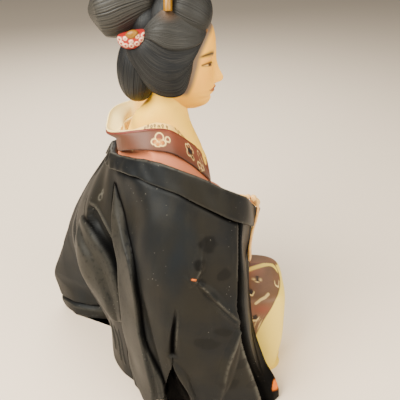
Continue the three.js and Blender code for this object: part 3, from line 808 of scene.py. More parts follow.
def coat_body(around, along):
    """The coat from inside its rim, down over its folds, to the ground under it."""
    top_bearing, _ = coat_bearing(around, np.full_like(along, COAT_BROW))
    up, inward = coat_rows(along, curve(COAT_TOP, np.clip(top_bearing, 10, 350)) - 0.4)
    bearing, out = coat_bearing(around, up)
    up = up + np.interp(bearing, *np.array(ROLLED_END).T) * np.clip(1 - up / 26, 0, 1)
    out = np.where(along < 0.1, mix(np.minimum(out, 0), out, smooth(RIM_END, 0.1, along)), out)
    relief, gap, rub = coat_relief(bearing, up)
    calm = smooth(0.06, 0.12, along) * (out > -0.5)
    radius = coat_radius(bearing, up) + out - inward + relief * calm
    chip = patches(COAT_CHIPS, bearing, up) * smooth(-4, -1.5, out)
    radius -= 0.4 * chip
    # a groove runs under the collar band, with painted shade in it, and the front bands get painted shade,
    # darker than the rest
    below = curve(COAT_TOP, bearing) - curve(COAT_BAND_DROP, bearing) - up
    under = hump(below, 0.5, 1.5) * smooth(150, 118, bearing) * (bearing > 39)
    radius -= 0.8 * under * calm
    gap = np.maximum(gap, under)
    gap = np.maximum(gap, 0.75 * smooth(44, 38, bearing) * smooth(70, 42, up))
    gap = np.maximum(gap, 0.3 * smooth(42, 38, bearing))
    radius = np.where((along <= 0) | (along >= 1), 0, radius)
    up = np.where(along <= 0, COAT_BROW - 6, np.where(along >= 1, 0, up))
    masks = {
        # painted shade in the gaps and folds, and inside the coat
        "gap": np.clip(gap * calm + 0.8 * smooth(-1, -6, out), 0, 1),
        # pale wear and the crest, with painted highlight
        "rub": np.maximum(rub, 0.9 * crest(bearing, up)) * calm,
        "chip": chip, "stain": patches(COAT_STAINS, bearing, up),
    }
    front, right, up = off_axis(bearing, radius, up)
    # the near side of the trailing hem runs level
    level = smooth(34, 18, up) * (bearing > 204) * (bearing < 206.5) * (radius > 30)
    stops, fronts, rights = np.array(HEM_SIDE).T
    front = mix(front, np.interp(bearing, stops, fronts), level)
    right = mix(right, np.interp(bearing, stops, rights) + 0.8 * relief - 0.8, level)
    return front, right, up, masks


def coat_collar_band(around, along):
    """The slanting band round the coat's upper edge, with square ends at the chest."""
    bearing = mix(10.5, 349.5, np.clip((along - 0.004) / 0.992, 0, 1))
    angle = 2 * np.pi * around
    open_row = (along > 0.002) & (along < 0.998)
    down = 0.5 - 0.5 * signed_power(np.cos(angle), 0.7) * open_row
    across_band = signed_power(np.sin(angle), 0.3) * open_row
    up = curve(COAT_TOP, bearing) - curve(COAT_BAND_DROP, bearing) * down
    arc = np.radians(bearing) * 45
    # behind the shoulder its lower edge lies flat on the coat
    free = np.maximum(smooth(130, 92, bearing), smooth(225, 260, bearing))
    corner = 4.4 * smooth(19, 11, bearing) * (1 - 0.8 * down)
    uneven = 0.3 * wander(arc, 9 * down, 17, seed=7)
    lie = 0.1 + corner + (0.2 + 0.8 * free) * down + uneven
    # a dent in the band, with painted shade in it
    dent = 1.2 * hump(bearing, 172, 5) * hump(down, 0.5, 0.25) * (across_band > 0)
    radius = coat_radius(bearing, up) + lie + across_band * (1.0 + 0.7 * free) - dent
    # pale lines of painted highlight along the band's edges, and chalky wear near the front
    rub = hump(down, 0, 0.05) * 0.5 + hump(down, 0.96, 0.04) * mix(0.5, 0.15, free)
    chalky = smooth(-0.4, 0.6, wander(arc, 9 * down, 3, seed=8))
    rub = np.maximum(rub, 0.3 * hump(bearing, 16, 4) * chalky)
    return (*off_axis(bearing, radius, up), {"rub": rub, "gap": dent * 0.5})


# Kimono


def inside_coat(front, right, up, space=4.5):
    """Draws a form in where it would come through the coat."""
    ahead = front - COAT_AXIS
    bearing = np.degrees(np.arctan2(right, ahead)) % 360
    away = np.hypot(ahead, right) + 1e-6
    kept = np.minimum(away, coat_radius(bearing, up) - space) / away
    return COAT_AXIS + ahead * kept, right * kept, up


def kimono_body():
    """Shoulders and chest, hollowed inside the collar, where the lining shows."""
    rings = [
        [150, -24, -30, 0], [150, -20, -36, 8], [153, -15, -41, 15], [160, -12, -43.5, 20],
        [164.2, -11, -44.5, 22.5], [163.5, -9.5, -46, 25.5], [158, -6, -48, 29], [148, -0.6, -48.5, 31],
        [132, 5, -47, 34], [112, 11, -46, 36], [80, 14, -46, 36], [42, 10, -48, 36], [40, 0, -50, 20],
        [40, -24, -26, 0],
    ]

    def at(around, along):
        front, right, up = inside_coat(*ring_form(rings, 2.2)(around, along))
        behind = (right < 12) | (front < -34)
        inner = np.where(behind, smooth(0.42, 0.39, along), smooth(0.28, 0.25, along))
        return front, right, up, {"salmon": 0.9 * (1 - inner), "cream": inner}

    return at


def kimono_sleeve(around, along):
    knots = [[0, -24, 18, 154, 8], [0.3, -22, 26, 140, 10], [0.6, -16, 34, 118, 12], [1, -8, 38, 92, 13]]
    return (*rod(knots)(around, along), {"salmon": 0.5})


def outline(points, x, y):
    """Distance to an open line of points."""
    best = np.full(np.shape(x), 1e9)
    for (ax, ay), (bx, by) in zip(points[:-1], points[1:]):
        dx, dy = bx - ax, by - ay
        t = np.clip(((x - ax) * dx + (y - ay) * dy) / (dx * dx + dy * dy), 0, 1)
        best = np.minimum(best, np.hypot(x - ax - t * dx, y - ay - t * dy))
    return best


def blossom(x, y, size, stretch):
    """Distance from the rim of a five-petalled blossom, below zero inside it."""
    angle = np.arctan2(y, x / stretch)
    rim = size * (0.82 + 0.18 * np.abs(np.cos(5 * angle / 2)))
    return np.hypot(x / stretch, y) - rim


# Slope of the view that the photograph was taken from, and the height that it looks at.
VIEW_SLOPE = math.radians(30)
VIEW_UP = 118

# The open edge of the kimono over the knee: how far forward the brown reaches, by the
# height seen from her right and above, and how high it reaches on the thigh.
LAP_EDGE = [
    [-110, 28], [-86.3, 35.6], [-78.5, 38.5], [-73.3, 41], [-66.9, 44.5], [-62.4, 46.6], [-58.5, 49],
    [-53.9, 51.2], [-49.4, 52], [-45.6, 51.2], [-43, 49.6],
]
LAP_TOP = [
    [26, -48.4], [32.2, -46.8], [38.3, -45.2], [44.8, -43.9], [47.7, -44.2], [50, -46.2], [52, -50],
]
# Blossoms, each [front, height, size, stretch], and the line of a leaf.
LAP_BLOSSOMS = [
    [36.9, -50.6, 1.8, 1.0], [49.2, -52.0, 2.9, 0.5], [31.9, -57.2, 1.8, 0.9],
    [34.4, -73.1, 2.3, 0.9],
]
LAP_LEAF = [[34.4, -63.8], [37.5, -61.5], [40.5, -60.2], [42.5, -58.6]]


def lap():
    knees = [
        [62.4, 10, -10, 0], [62.4, 40, -12, 16], [61.8, 49, -14, 22], [60, 53, -16, 25],
        [56, 54.4, -17, 26.2], [47, 54.8, -18, 26.8], [24, 55, -20, 26.4], [9, 53.6, -20, 25],
        [2, 52.8, -20, 24.5], [0.3, 52.6, -20, 24.3], [0, 52.2, -20, 24], [0, 20, 0, 0],
    ]

    def parting(turn, along):
        off = (turn + np.pi) % (2 * np.pi) - np.pi
        folds = 0.035 * hump(off, 0, 0.1) + 0.02 * hump(np.abs(off), 0.4, 0.08) * smooth(0.5, 0.85, along)
        return -folds * smooth(0.45, 0.6, along)

    def masks(front, right, up):
        far = right < -12
        aside = np.where(far, np.abs(right) - 12 * (up > 57), right)
        height = math.cos(VIEW_SLOPE) * (up - VIEW_UP) - math.sin(VIEW_SLOPE) * aside
        open_at = curve(LAP_EDGE, height)
        lining = smooth(-0.35, 0.35, front - open_at)
        above = height - curve(LAP_TOP, front)
        line = smooth(-0.3, 0.2, above) * smooth(2.3, 1.8, above) * (front < 51)
        cap = smooth(1.8, 2.3, above) * smooth(51.5, 50, front)
        near = right > -10
        rose = hump(front, 38.5, 7) * hump(height, -68, 3.6) * near
        dark = np.zeros_like(up)
        cream = np.zeros_like(up)
        for at_front, at_height, size, stretch in LAP_BLOSSOMS:
            ring = blossom(front - at_front, height - at_height, size, stretch)
            lower = smooth(0.8, -0.6, height - at_height)
            cream = np.maximum(cream, smooth(0.55, 0.25, np.abs(ring - 0.2)) * lower)
            dark = np.maximum(dark, smooth(0.2, -0.2, ring + 0.15 * size) * (stretch > 0.6))
        leaf = outline(LAP_LEAF, front, height)
        cream = np.maximum(cream, smooth(0.95, 0.6, leaf) * 0.75)
        pattern = smooth(0.1, 0.6, np.sin(front * 3.1 + height) * np.sin(height * 2.3 - front * 0.7))
        cream = np.maximum(cream, pattern * hump(front, 37, 3) * hump(height, -78, 4) * 0.8)
        kept = near * (1 - lining) * (above < 0)
        salmon = 0.35 * smooth(-52, -44, height) * smooth(46, 34, front)
        return {
            "cap": cap, "lining": np.clip(np.maximum(lining * (1 - cap), line), 0, 1), "rose": rose,
            "dark": dark * kept, "cream": cream * kept, "salmon": salmon,
            "seam": 0.35 * hump(front - open_at, -0.5, 0.35) * (above < 0),
        }

    return ring_form(knees, 4.6, parting, masks, dense=math.radians(40))


def obi(around, along):
    rings = [
        [116, -12, -14, 0], [116, 14, -42, 33], [112, 18, -44, 35.5], [96, 20, -44, 37], [78, 20, -44, 37],
        [74, 17, -42, 34], [74, -12, -14, 0],
    ]
    front, right, up = ring_form(rings, 2.4)(around, along)
    tuck = 0.5 * hump(up, 95, 0.8)
    bands = hump(up, 101, 0.7) + hump(up, 89, 0.7)
    return front - tuck, right, up, {"seam": hump(up, 95, 0.5), "gold": bands}


def cuff(around, along):
    front, right, up = rod([[0, 2, 34, 76, 12], [0.5, 10, 26, 71, 12], [1, 17, 17, 67, 9.5]])(around, along)
    return front, right, up, {"lining": smooth(0.86, 0.9, along), "salmon": 0.3}


PALM = lump([22, 7, 64.5], [8.5, 10, 5], -10)


def finger(i):
    out = 17 + 3.5 * i
    return rod([[0, out, 7, 67.5, 2.6], [0.5, out + 1, -1, 67.5, 2.8], [1, out + 1.5, -9.5, 65.5, 2.2]])


# Neck, collars and head


def neck():
    rings = [
        [196, -15, -17, 0], [194, -7, -26, 9], [187, -7.5, -27, 10], [183, -7.5, -28, 10.2],
        [179, -7.3, -31.5, 10.6], [174, -6.5, -36, 11.2], [168, -5, -39, 12], [162, -2.5, -41, 13],
        [153, 1.2, -42, 14], [142, 3.4, -40, 14], [142, -15, -17, 0],
    ]

    def masks(front, right, up):
        # painted shade down the back of the neck, where it meets the collar
        nape_shade = hump(front + 0.55 * (up - 168), -36.5, 3.2) * smooth(186, 180, up)
        return {"shade": 0.55 * nape_shade}

    return ring_form(rings, masks=masks)


# The kimono collar as [share, front, right, up, foot's distance outside, foot's drop]:
# its rim from the nape round one side to the crossing on the chest.
COLLAR_RIM = [
    [0, -52, 0, 165, -6, 12], [0.14, -50, 9, 166, -5.5, 12], [0.3, -43, 16, 168.5, -1, 10.5],
    [0.45, -34, 19.5, 171, 4, 8.6], [0.58, -25, 20.5, 172.5, 6.5, 8.6], [0.7, -16, 19, 171, 6.5, 10],
    [0.82, -9, 13, 164, 6.2, 13], [0.92, -2.4, 6, 155.5, 5.8, 17], [1, 2.2, -3, 147, 3.4, 19],
]
# On her left it stands a little wider and higher.
COLLAR_RIM_LEFT = [
    [0, -52, 0, 165, -6, 12], [0.14, -51, 12.5, 169, -5.5, 12], [0.3, -44, 24, 170.5, -1, 10.5],
    [0.45, -35, 27, 172.5, 3, 8.6], [0.58, -25, 25.5, 173.5, 4, 8.6], [0.7, -15.5, 20.5, 171, 5, 10],
    [0.82, -8.6, 13, 164, 5.6, 13], [0.92, -2, 6, 155.5, 4.4, 17], [1, 2.6, -3, 147, 2.0, 19],
]
# Length along the rim, by share of the way.
COLLAR_LENGTH = [
    [0, 0], [0.14, 9.3], [0.3, 19.5], [0.45, 29.5], [0.58, 38.7], [0.7, 47.9], [0.82, 60.1],
    [0.92, 73.1], [1, 86.3],
]
COLLAR_CENTRE = -24
COLLAR_THICKNESS = 2.4


def collar_drop(way):
    """Height of the collar from its rim to its foot."""
    return curve([[stop[0], stop[5]] for stop in COLLAR_RIM], way)


def collar_strip(section, rim, masks=None):
    """A strip round the collar's rim: section gives [way down, across] for a share of a turn."""

    def at(around, along):
        way = np.clip((along - 0.01) / 0.98, 0, 1)
        front, right, up, out, drop = curve(rim, way).T
        away = np.stack([front - COLLAR_CENTRE, right * 1.5], -1)
        away[(way < 0.5) & (right < 1)] = (-1, 0)
        away /= np.linalg.norm(away, axis=1, keepdims=True)
        closed = (along > 0.005) & (along < 0.995)
        down, across_strip = section(around, way)
        down = np.where(closed, down, 0.5)
        # at the nape the rim rolls out over the band
        offset = np.where(out < 0, out * smooth(0, 0.4, down), out * down) + across_strip * closed
        past = -0.8 * (along <= 0.005)
        spot = front + away[:, 0] * offset, right + away[:, 1] * offset + past, up - drop * down
        return (*spot, masks(way, down, across_strip)) if masks else spot

    return at


def brown_section(around, way):
    angle = 2 * np.pi * around
    down = 0.5 - 0.5 * signed_power(np.cos(angle), 0.9)
    return down, COLLAR_THICKNESS * (0.1 + 0.55 * signed_power(np.sin(angle), 0.35))


# Blossoms of the collar: petals as [length along it, way down, size, stretch] each.
COLLAR_BLOSSOMS = [
    [[42, 2.7, 1.8, 1.0], [39.8, 4.6, 1.2, 1.1], [41.3, 5.6, 1.1, 1.2], [43.2, 5.1, 1.3, 1.1]],
    [[45.8, 3.5, 1.1, 1.1]],
    [[60.2, 3.6, 1.5, 0.9], [60, 6.8, 1.5, 0.9], [62.4, 2.8, 1.4, 0.9], [63.8, 4.4, 1.3, 0.9],
     [62.6, 8.6, 1.1, 0.9]],
    [[71, 6.6, 4.4, 0.34]], [[67.6, 11.4, 1.8, 1.0], [70, 12.2, 1.6, 1.0], [67.4, 13.8, 1.3, 1.0]],
]
# The gold heart and the dark ones, each [length along it, way down, size].
COLLAR_GOLD = [41.6, 4.9, 2.1]
COLLAR_DARKS = [[61.8, 5.4, 2.0], [62.6, 8.4, 0.9]]


def brown_masks(way, down, across_strip):
    length = curve(COLLAR_LENGTH, way)
    wide = down * collar_drop(way)
    cream = np.zeros_like(way)
    # the front of the collar is painted lighter rose, a painted pool of light where it faces the light; the
    # blossoms get rose too
    rose = 0.75 * smooth(0.5, 0.75, way) * smooth(1.3, 0.2, down)
    for petals in COLLAR_BLOSSOMS:
        reach = np.stack([
            np.hypot((length - at) / stretch, wide - low) - size for at, low, size, stretch in petals
        ])
        cream = np.maximum(cream, smooth(0.34, 0.14, np.abs(reach.min(0))))
        cream = np.maximum(cream, 0.6 * smooth(0.24, 0.1, np.abs(reach).min(0)))
        rose = np.maximum(rose, 0.8 * smooth(0.2, -0.2, reach.min(0)))
    at, low, size = COLLAR_GOLD
    gold = 0.85 * smooth(1.0, 0.5, np.hypot((length - at) / 1.3, wide - low) / size)
    dark = np.zeros_like(way)
    for at, low, size in COLLAR_DARKS:
        dark = np.maximum(dark, smooth(1.1, 0.8, np.hypot(length - at, wide - low) / size))
    outer = across_strip > 0
    return {
        "cream": cream * outer * (1 - dark), "gold": gold * outer * (1 - cream), "dark": dark * outer,
        "seam": hump(down, 0.97, 0.03), "rose": rose,
    }


def piping_section(around, way):
    angle = 2 * np.pi * around
    thick = np.interp(way, [0, 0.3, 0.5, 1], [1.2, 1.1, 0.6, 0.5])
    low = 0.06 * smooth(0.4, 0.25, way)
    return -0.02 + low + 0.09 * thick * np.cos(angle), 0.1 + 0.9 * thick * np.sin(angle)


def cream_section(around, way):
    """From just inside the piping down to the neck."""
    angle = 2 * np.pi * around
    stops = [0, 0.3, 0.42, 0.5, 0.6, 0.8, 0.9, 1]
    rise = np.interp(way, stops, [0.16, 0.14, 0.1, 0.2, 0.32, 0.26, -0.05, -0.5])
    foot = np.interp(way, [0, 0.35, 0.45], [0.85, 0.85, 1.15])
    down = (foot - rise) / 2 - (foot + rise) / 2 * signed_power(np.cos(angle), 0.9)
    lean = np.interp(way, [0, 0.3, 0.6, 1], [5, 4, 3.2, 2.0]) * np.clip(down, 0, 2)
    roll = 1.6 * smooth(0.35, 0.2, way) * smooth(0.1, -0.16, down)
    return down, -1.1 - lean + roll + 0.7 * signed_power(np.sin(angle), 0.5)


# Small worked rings above the collar, as [length along it, height above the rim, size].
CREAM_MARKS = [
    [34.5, 0.9, 0.6], [36, 1.5, 0.6], [38, 1.3, 0.7], [39.8, 1.6, 0.6], [42, 1.2, 0.7],
    [44, 1.6, 0.7], [46.5, 1.5, 0.6], [54, 2.6, 0.8], [56.2, 1.6, 0.9], [58, 2.6, 0.8],
    [59.6, 1.0, 0.9], [61.4, 2.0, 1.0], [63.5, 1.0, 0.8],
]


def cream_masks(way, down, across_strip):
    length = curve(COLLAR_LENGTH, way)
    marks = np.zeros_like(way)
    height = -down * collar_drop(way)
    for at, low, size in CREAM_MARKS:
        ring = np.hypot(length - at, height - low) - 0.7 * size
        marks = np.maximum(marks, smooth(0.45, 0.15, np.abs(ring)))
    # painted shade, greenish, deep inside the collar at the back
    shade = 0.45 * smooth(0.2, 1.0, down) * smooth(0.3, 0.05, way)
    warm = 0.85 * smooth(0.33, 0.42, way)
    return {"marks": marks, "shade": shade, "warm": warm}


# Head: the face is a shield of level curves with the nose and lips raised on it

FACE_FRONT = [
    [170, -12], [176, -4], [179, 2.6], [180.6, 4.5], [183.1, 5.8], [184.8, 5.6], [186.7, 6.9], [188, 7.0],
    [189.6, 7.6], [192, 7.3], [196, 7.1], [200, 7.0], [205, 7.1], [209, 7.9], [212, 8.2], [216, 8.0],
    [222, 6.2], [230, 0],
]
FACE_HALF = [
    [176, 0.8], [178.5, 3.6], [180.5, 6.2], [183, 8.4], [188, 11.6], [194, 13.8], [200, 14.8], [206, 15.2],
    [214, 15], [222, 13.6], [230, 9],
]
NOSE_RISE = [
    [189.6, 0], [190.6, 0.2], [191.4, 0.9], [192.1, 3.4], [193, 4.8], [194.8, 5.3], [197, 4.3], [200, 2.9],
    [203, 2.0], [206, 1.4], [209, 0.6], [213, 0],
]
HAIRLINE = [[186, -6.6], [190, -5.2], [194, -3.5], [203, -0.9], [210, 0.9], [217, 4.3], [222, 7], [226, 8.6]]


# Lines of the eye and brow, each [distance from the middle of the face, up].
LASH_LINE = [[3.6, 203.1], [4.5, 203.5], [6, 203.9], [8, 204.2], [10, 204.4], [12.4, 204.1]]
LOW_LID_LINE = [[3.6, 203.0], [5, 202.5], [7.5, 202.6], [10, 203.2], [12.4, 204]]
BROW_LINE = [[3.2, 207.5], [6, 208.8], [8.5, 209.3], [11, 209.3], [13.4, 208.8]]
EYE_MIDDLE = 8
IRIS = [7.8, 203.5]
FACE_CENTRE = -9


def face_relief(side, up):
    """How far nose, lips, lids and cheeks stand out of the shield."""
    off = np.abs(side)
    wing = mix(2.3, 1.5, smooth(193, 200, up))
    nose = curve(NOSE_RISE, up) * hump(side, 0, wing) + hump(up, 193.2, 1.2) * hump(off, 2.7, 1.0)
    upper_lip = 0.9 * hump(up, 189.5, 0.75) * hump(side, 0, 3.6)
    lower_lip = 0.9 * hump(up, 187.5, 0.85) * hump(side, 0, 3.1)
    cleft = -0.6 * hump(up, 188.6, 0.35) * hump(side, 0, 4.2)
    socket = -0.9 * hump(up, 205.2, 2.6) * hump(off, 5.2, 3.4)
    lid = 0.7 * hump(up, 203.4, 1.6) * hump(off, 7.6, 3.6) - 0.25 * hump(up, 205.6, 0.4) * hump(off, 8, 3.6)
    cheek = 0.5 * hump(up, 196, 4.5) * hump(off, 8.5, 4)
    return nose + upper_lip + lower_lip + cleft + socket + lid + cheek


def face_masks(off, up):
    """Painted features, by distance from the middle of the face and height."""
    lash_line = curve(LASH_LINE, off)
    low_line = curve(LOW_LID_LINE, off)
    opened = smooth(0, 0.2, up - low_line) * smooth(0, 0.2, lash_line - up)
    within = smooth(4.5, 4.1, np.abs(off - EYE_MIDDLE))
    lash = np.maximum(hump(up, lash_line + 0.2, 0.52), 0.6 * hump(up, low_line, 0.24))
    brow_width = np.interp(off, [3, 5, 8, 13.4], [0.6, 1.3, 1.4, 0.6])
    brow_reach = smooth(2.8, 4.0, off) * smooth(13.8, 12.0, off)
    mouth = 188.65 + 0.02 * off**2
    bow = 190.2 - 0.028 * (off - 1) ** 2 - 0.25 * hump(off, 0, 0.6)
    upper = smooth(0.1, -0.1, up - bow) * smooth(-0.1, 0.1, up - mouth)
    lower = smooth(-0.1, 0.1, up - (187.0 + 0.048 * off**2)) * smooth(0.1, -0.1, up - mouth)
    blush = 0.2 * hump(up, 197, 5) * hump(off, 9, 4) + 0.4 * hump(up, 205.5, 2.4) * hump(off, 9, 5)
    return {
        "brow": hump(up, curve(BROW_LINE, off), brow_width) * brow_reach,
        "white": opened * within,
        "iris": smooth(1.7, 1.4, np.hypot(off - IRIS[0], up - IRIS[1])) * opened,
        "lash": lash * within,
        "lips": (0.95 * upper + 0.8 * lower) * smooth(7.8, 6.8, off),
        "blush": np.clip(blush, 0, 1),
    }


def face(around, along):
    up = mix(231, 177, along)
    front = curve(FACE_FRONT, up)
    half = np.where((along <= 0) | (along >= 1), 0, curve(FACE_HALF, up))
    back = np.where(along >= 1, -4, -24 + 14 * smooth(188, 177, up))
    turn = 2 * around - 2 * (around > 0.5)
    angle = np.pi * signed_power(turn, 1.35)
    ahead = np.cos(angle)
    seen = ahead > 0
    depth = np.where(seen, front - FACE_CENTRE, FACE_CENTRE - back)
    side = signed_power(np.sin(angle), 0.92) * half
    masks = {name: mask * seen for name, mask in face_masks(np.abs(side), up).items()}
    behind = curve(HAIRLINE, up) - (depth * ahead + FACE_CENTRE)
    masks["hairline"] = 0.9 * smooth(-1.3, 1.8, behind) * smooth(186, 190, up)
    return FACE_CENTRE + depth * ahead + face_relief(side, up) * seen, side, up, masks


# Hair


WING_STRANDS = [83, 97, 113, 131, 149]
TOP_LOCK = [
    [0, -30, 13, 220], [0.2, -25.5, 13, 226], [0.45, -19, 11.5, 231.5], [0.6, -13, 11.5, 233.2],
    [0.75, -7, 12.5, 229.8], [0.9, 0.5, 11.5, 223.8], [1, 4.2, 8.5, 221.5],
]
# Locks of one side's comb-out, from the knot behind to the temple in front, each a
# path of [share, front, right, up], by the share of a turn at which it lies.
WING_LOCKS = [
    [0, TOP_LOCK],
    [0.15, [[0, -30, 14, 220], [0.2, -25, 18.2, 223.4], [0.45, -17.5, 19.8, 225], [0.7, -9, 18.5, 223.4],
            [0.88, -0.5, 14, 220.8], [1, 4.2, 8.5, 221.5]]],
    [0.27, [[0, -30, 15, 219.5], [0.2, -24.5, 19.8, 219.8], [0.45, -16, 22, 216.2], [0.7, -7.5, 20.5, 215.4],
            [0.88, 0.2, 15, 216.8], [1, 4.2, 8.5, 221.5]]],
    [0.42, [[0, -30, 15, 219], [0.15, -31, 17.5, 213], [0.35, -24, 20.5, 205], [0.55, -15.5, 22.2, 202],
            [0.75, -8, 20, 204], [0.9, -1.8, 15.5, 210.5], [1, 4.2, 8.5, 221.5]]],
    [0.6, [[0, -31, 13, 218], [0.1, -37, 13, 213], [0.25, -33, 13.5, 202.5], [0.42, -25, 15, 191.6],
           [0.55, -15.8, 16.2, 188.6], [0.68, -7.8, 15.8, 191.2], [0.8, -4.2, 14.6, 201.5],
           [0.9, -2.6, 13, 209.5], [1, 4.2, 8.5, 221.5]]],
    [0.8, [[0, -30, 9, 219], [0.25, -27, 5, 206], [0.55, -15, 6, 200], [0.8, -6, 7, 208], [1, 3.6, 8, 221]]],
    [1, TOP_LOCK],
]
COMB_FRONT = -15.5


def wing(around, along):
    """One side's comb-out, parted by a ridge into an upper and a lower mass."""
    stops = [share for share, _ in WING_LOCKS]
    locks = np.stack([curve(path, along) for _, path in WING_LOCKS])
    front, right, up = (across(stops, locks[:, :, i], around) for i in range(3))
    strand = ripple(around, WING_STRANDS, 3)
    lean = np.radians(np.interp(around, [0, 0.27, 0.42, 0.6, 0.8, 1], [70, 5, -10, -75, -180, 70]))
    full = np.sin(np.pi * along) ** 0.6
    parted = smooth(0.268, 0.285, around) * smooth(0.41, 0.3, around)
    out = 0.2 * strand * full - 1.0 * parted * full
    right = right + out * np.cos(lean)
    up = up + out * np.sin(lean)
    # painted shade in the parting between the two masses and between the strands
    gap = 0.8 * hump(around, 0.285, 0.005) * smooth(0.02, 0.12, along) * smooth(0.98, 0.8, along)
    gap = np.maximum(gap, 0.4 * smooth(0.15, 0.6, -strand))
    near_comb = hump(front, COMB_FRONT, 4.4) * smooth(226, 233, up)
    edge = smooth(0.56, 0.62, around) * smooth(0.72, 0.65, around) * smooth(0.62, 0.74, along)
    edge = edge * (0.3 + 0.3 * strand)
    part = 0.35 * hump(np.minimum(around, 1 - around), 0.02, 0.02)
    part = part * smooth(0.62, 0.7, along) * smooth(0.98, 0.9, along)
    skin = np.maximum(np.maximum(0.6 * smooth(0.96, 1, along), 0.12 * near_comb), np.maximum(edge, part))
    # painted highlight on the upper mass and on the strands, and pale paint by the comb
    pale = np.maximum(0.5 * smooth(0.3, 0.26, around) * (0.7 + 0.5 * strand), 0.9 * near_comb)
    return front, right, up, {"gap": gap * (1 - 0.6 * edge), "skin": skin, "pale": pale}


def nape(around, along):
    strand = ripple(around, [47, 59, 71, 83], 8)
    form = lump([-32.2, 0, 200.5], [12, 15, 19.2], -7, carve=lambda u, v: 0.018 * strand)
    front, right, up = form(around, along)
    rim = 0.8 * smooth(184.5, 182.6, up)
    # painted shade between the strands
    return front, right, up, {"gap": 0.55 * smooth(0.0, 0.6, -strand), "rim": rim}


def front_roll(around, along):
    """The puff over the brow, combed from the temples up and back."""
    angle = 2 * np.pi * around
    tilt = math.radians(-115)
    strand = ripple(around, [53, 67, 79, 97], 5)
    grow = 1 + 0.016 * strand
    ahead = 12.5 * np.sin(np.pi * along) * np.cos(angle) * grow
    side = 15 * np.sin(np.pi * along) ** 0.5 * np.sin(angle) * grow
    rise = 12.5 * np.cos(np.pi * along)
    front = -6 + ahead * math.cos(tilt) - rise * math.sin(tilt)
    up = 228.8 + ahead * math.sin(tilt) + rise * math.cos(tilt)
    # painted shade between the strands, and a little painted highlight all over
    return front, side, up, {"gap": 0.5 * smooth(0.1, 0.6, -strand), "pale": 0.3}


KNOT = [
    [0, -20, 0, 236, 6], [0.2, -27, 0, 236, 9.5], [0.45, -37, 0, 233.5, 13], [0.7, -45, 0, 230.5, 13.8],
    [0.88, -51, 0, 229, 12], [1, -57, 0, 228, 7],
]


def knot(around, along):
    strand = ripple(around, [43, 57, 69, 77], 9)
    front, right, up = rod(KNOT, 1.08, carve=lambda u, v: 0.016 * strand)(around, along)
    # painted highlight on the knot, most on the strands, and painted shade between them
    pale = 0.4 + 0.3 * smooth(-0.3, 0.3, strand)
    return front, right, up, {"gap": 0.75 * smooth(0.1, 0.6, -strand), "pale": pale}


def bare_masks(at):
    def with_masks(around, along):
        # hidden hair gets a little painted shade all over
        return (*at(around, along), {"gap": 0.2})

    return with_masks


def comb(around, along):
    bow = np.pi * (along - 0.5) * 0.92
    angle = 2 * np.pi * around
    solid = (along > 0) & (along < 1)
    reach = 15 + 3.4 * signed_power(np.cos(angle), 0.8) * solid
    front = COMB_FRONT + 2.2 * signed_power(np.sin(angle), 0.8) * solid
    tip = np.abs(along - 0.5) * 2
    return front, reach * np.sin(bow), 230 + 0.95 * reach * np.cos(bow), {
        "gold": smooth(0.72, 0.76, tip), "lines": hump(np.cos(angle), 0.2, 0.12) * smooth(0.76, 0.8, tip),
    }


def hair_cloth(around, along):
    """Half-moon of dappled cloth gathered under the knot."""
    front, right, up = lump([-33.5, 14, 219.6], [7.6, 5.2, 6.0], -10)(around, along)
    up = np.minimum(up, 221.6 + 0.12 * (up - 221.6)) + 0.2 * (front + 33)
    rings = np.zeros_like(up)
    raised = np.zeros_like(up)
    for reach, count, size in ((1.0, 7, 0.95), (0.5, 3, 0.75)):
        for turn in np.linspace(-1.5, 1.4, count):
            ring_front = -33.5 + 6.1 * reach * math.sin(turn)
            ring_up = 220.6 - 4.4 * reach * math.cos(turn) + 1.3 * reach * math.sin(turn)
            away = np.hypot(front - ring_front, up - ring_up)
            rings = np.maximum(rings, smooth(0.42, 0.2, np.abs(away - size)))
            raised = np.maximum(raised, hump(away, 0, size + 0.2))
    outer = right > 14.5
    return front, right + 0.6 * raised * outer, up, {"rings": rings * outer}


HAIR_PIN = lump([-33.2, 18.2, 221.6], [3.3, 1.8, 2.1], 18)


# Cord that ties the coat, with two tassels

CORD_KNOTS = [
    lump([27.2, 16.6, 129.8], [1.6, 1.5, 1.5]), lump([30.4, 15.6, 128.4], [2.0, 1.9, 1.9]),
    lump([32.4, 14.2, 126.2], [1.3, 1.4, 1.4]), lump([24.4, 17.5, 131], [2.6, 0.8, 0.7], -10),
]
# From her right front, round the chest, to her left front, which hangs lower.
CORD_TIE = rod([
    [0, 31, 12, 124, 1.1], [0.25, 33.6, 7, 120, 1.2], [0.5, 34.2, 0, 116.5, 1.3], [0.75, 33.4, -7, 113, 1.2],
    [1, 31, -12, 111, 1.1],
])
CORD_MIDDLE = lump([34.2, 0, 116.5], [2.2, 3.0, 2.4])
TASSEL = [
    [0, 32.8, 14, 126, 1.2], [0.12, 33.4, 14.4, 121.4, 1.15], [0.26, 32.8, 15.4, 115.2, 1.1],
    [0.42, 31, 17.8, 109.5, 1.1], [0.62, 29.6, 20, 102.4, 1.15], [0.78, 29.2, 22, 97.5, 1.2],
    [0.9, 29.2, 23.8, 93.5, 1.35], [1, 29.2, 24.8, 90.4, 1.6],
]
LEFT_TASSEL_DROP = 13.5


def tassel(around, along):
    strand = ripple(around, [5, 9, 14], 6)
    twist = np.sin(2 * np.pi * (2 * around + 30 * along)) * smooth(0.9, 0.8, along)
    carve = 0.08 * twist + 0.25 * strand * smooth(0.86, 0.95, along)
    return rod(TASSEL, 0.9, carve=lambda u, v: carve)(around, along)


def tassel_left(around, along):
    front, right, up = tassel(around, along)
    return front, -right, up - LEFT_TASSEL_DROP


# All the pieces

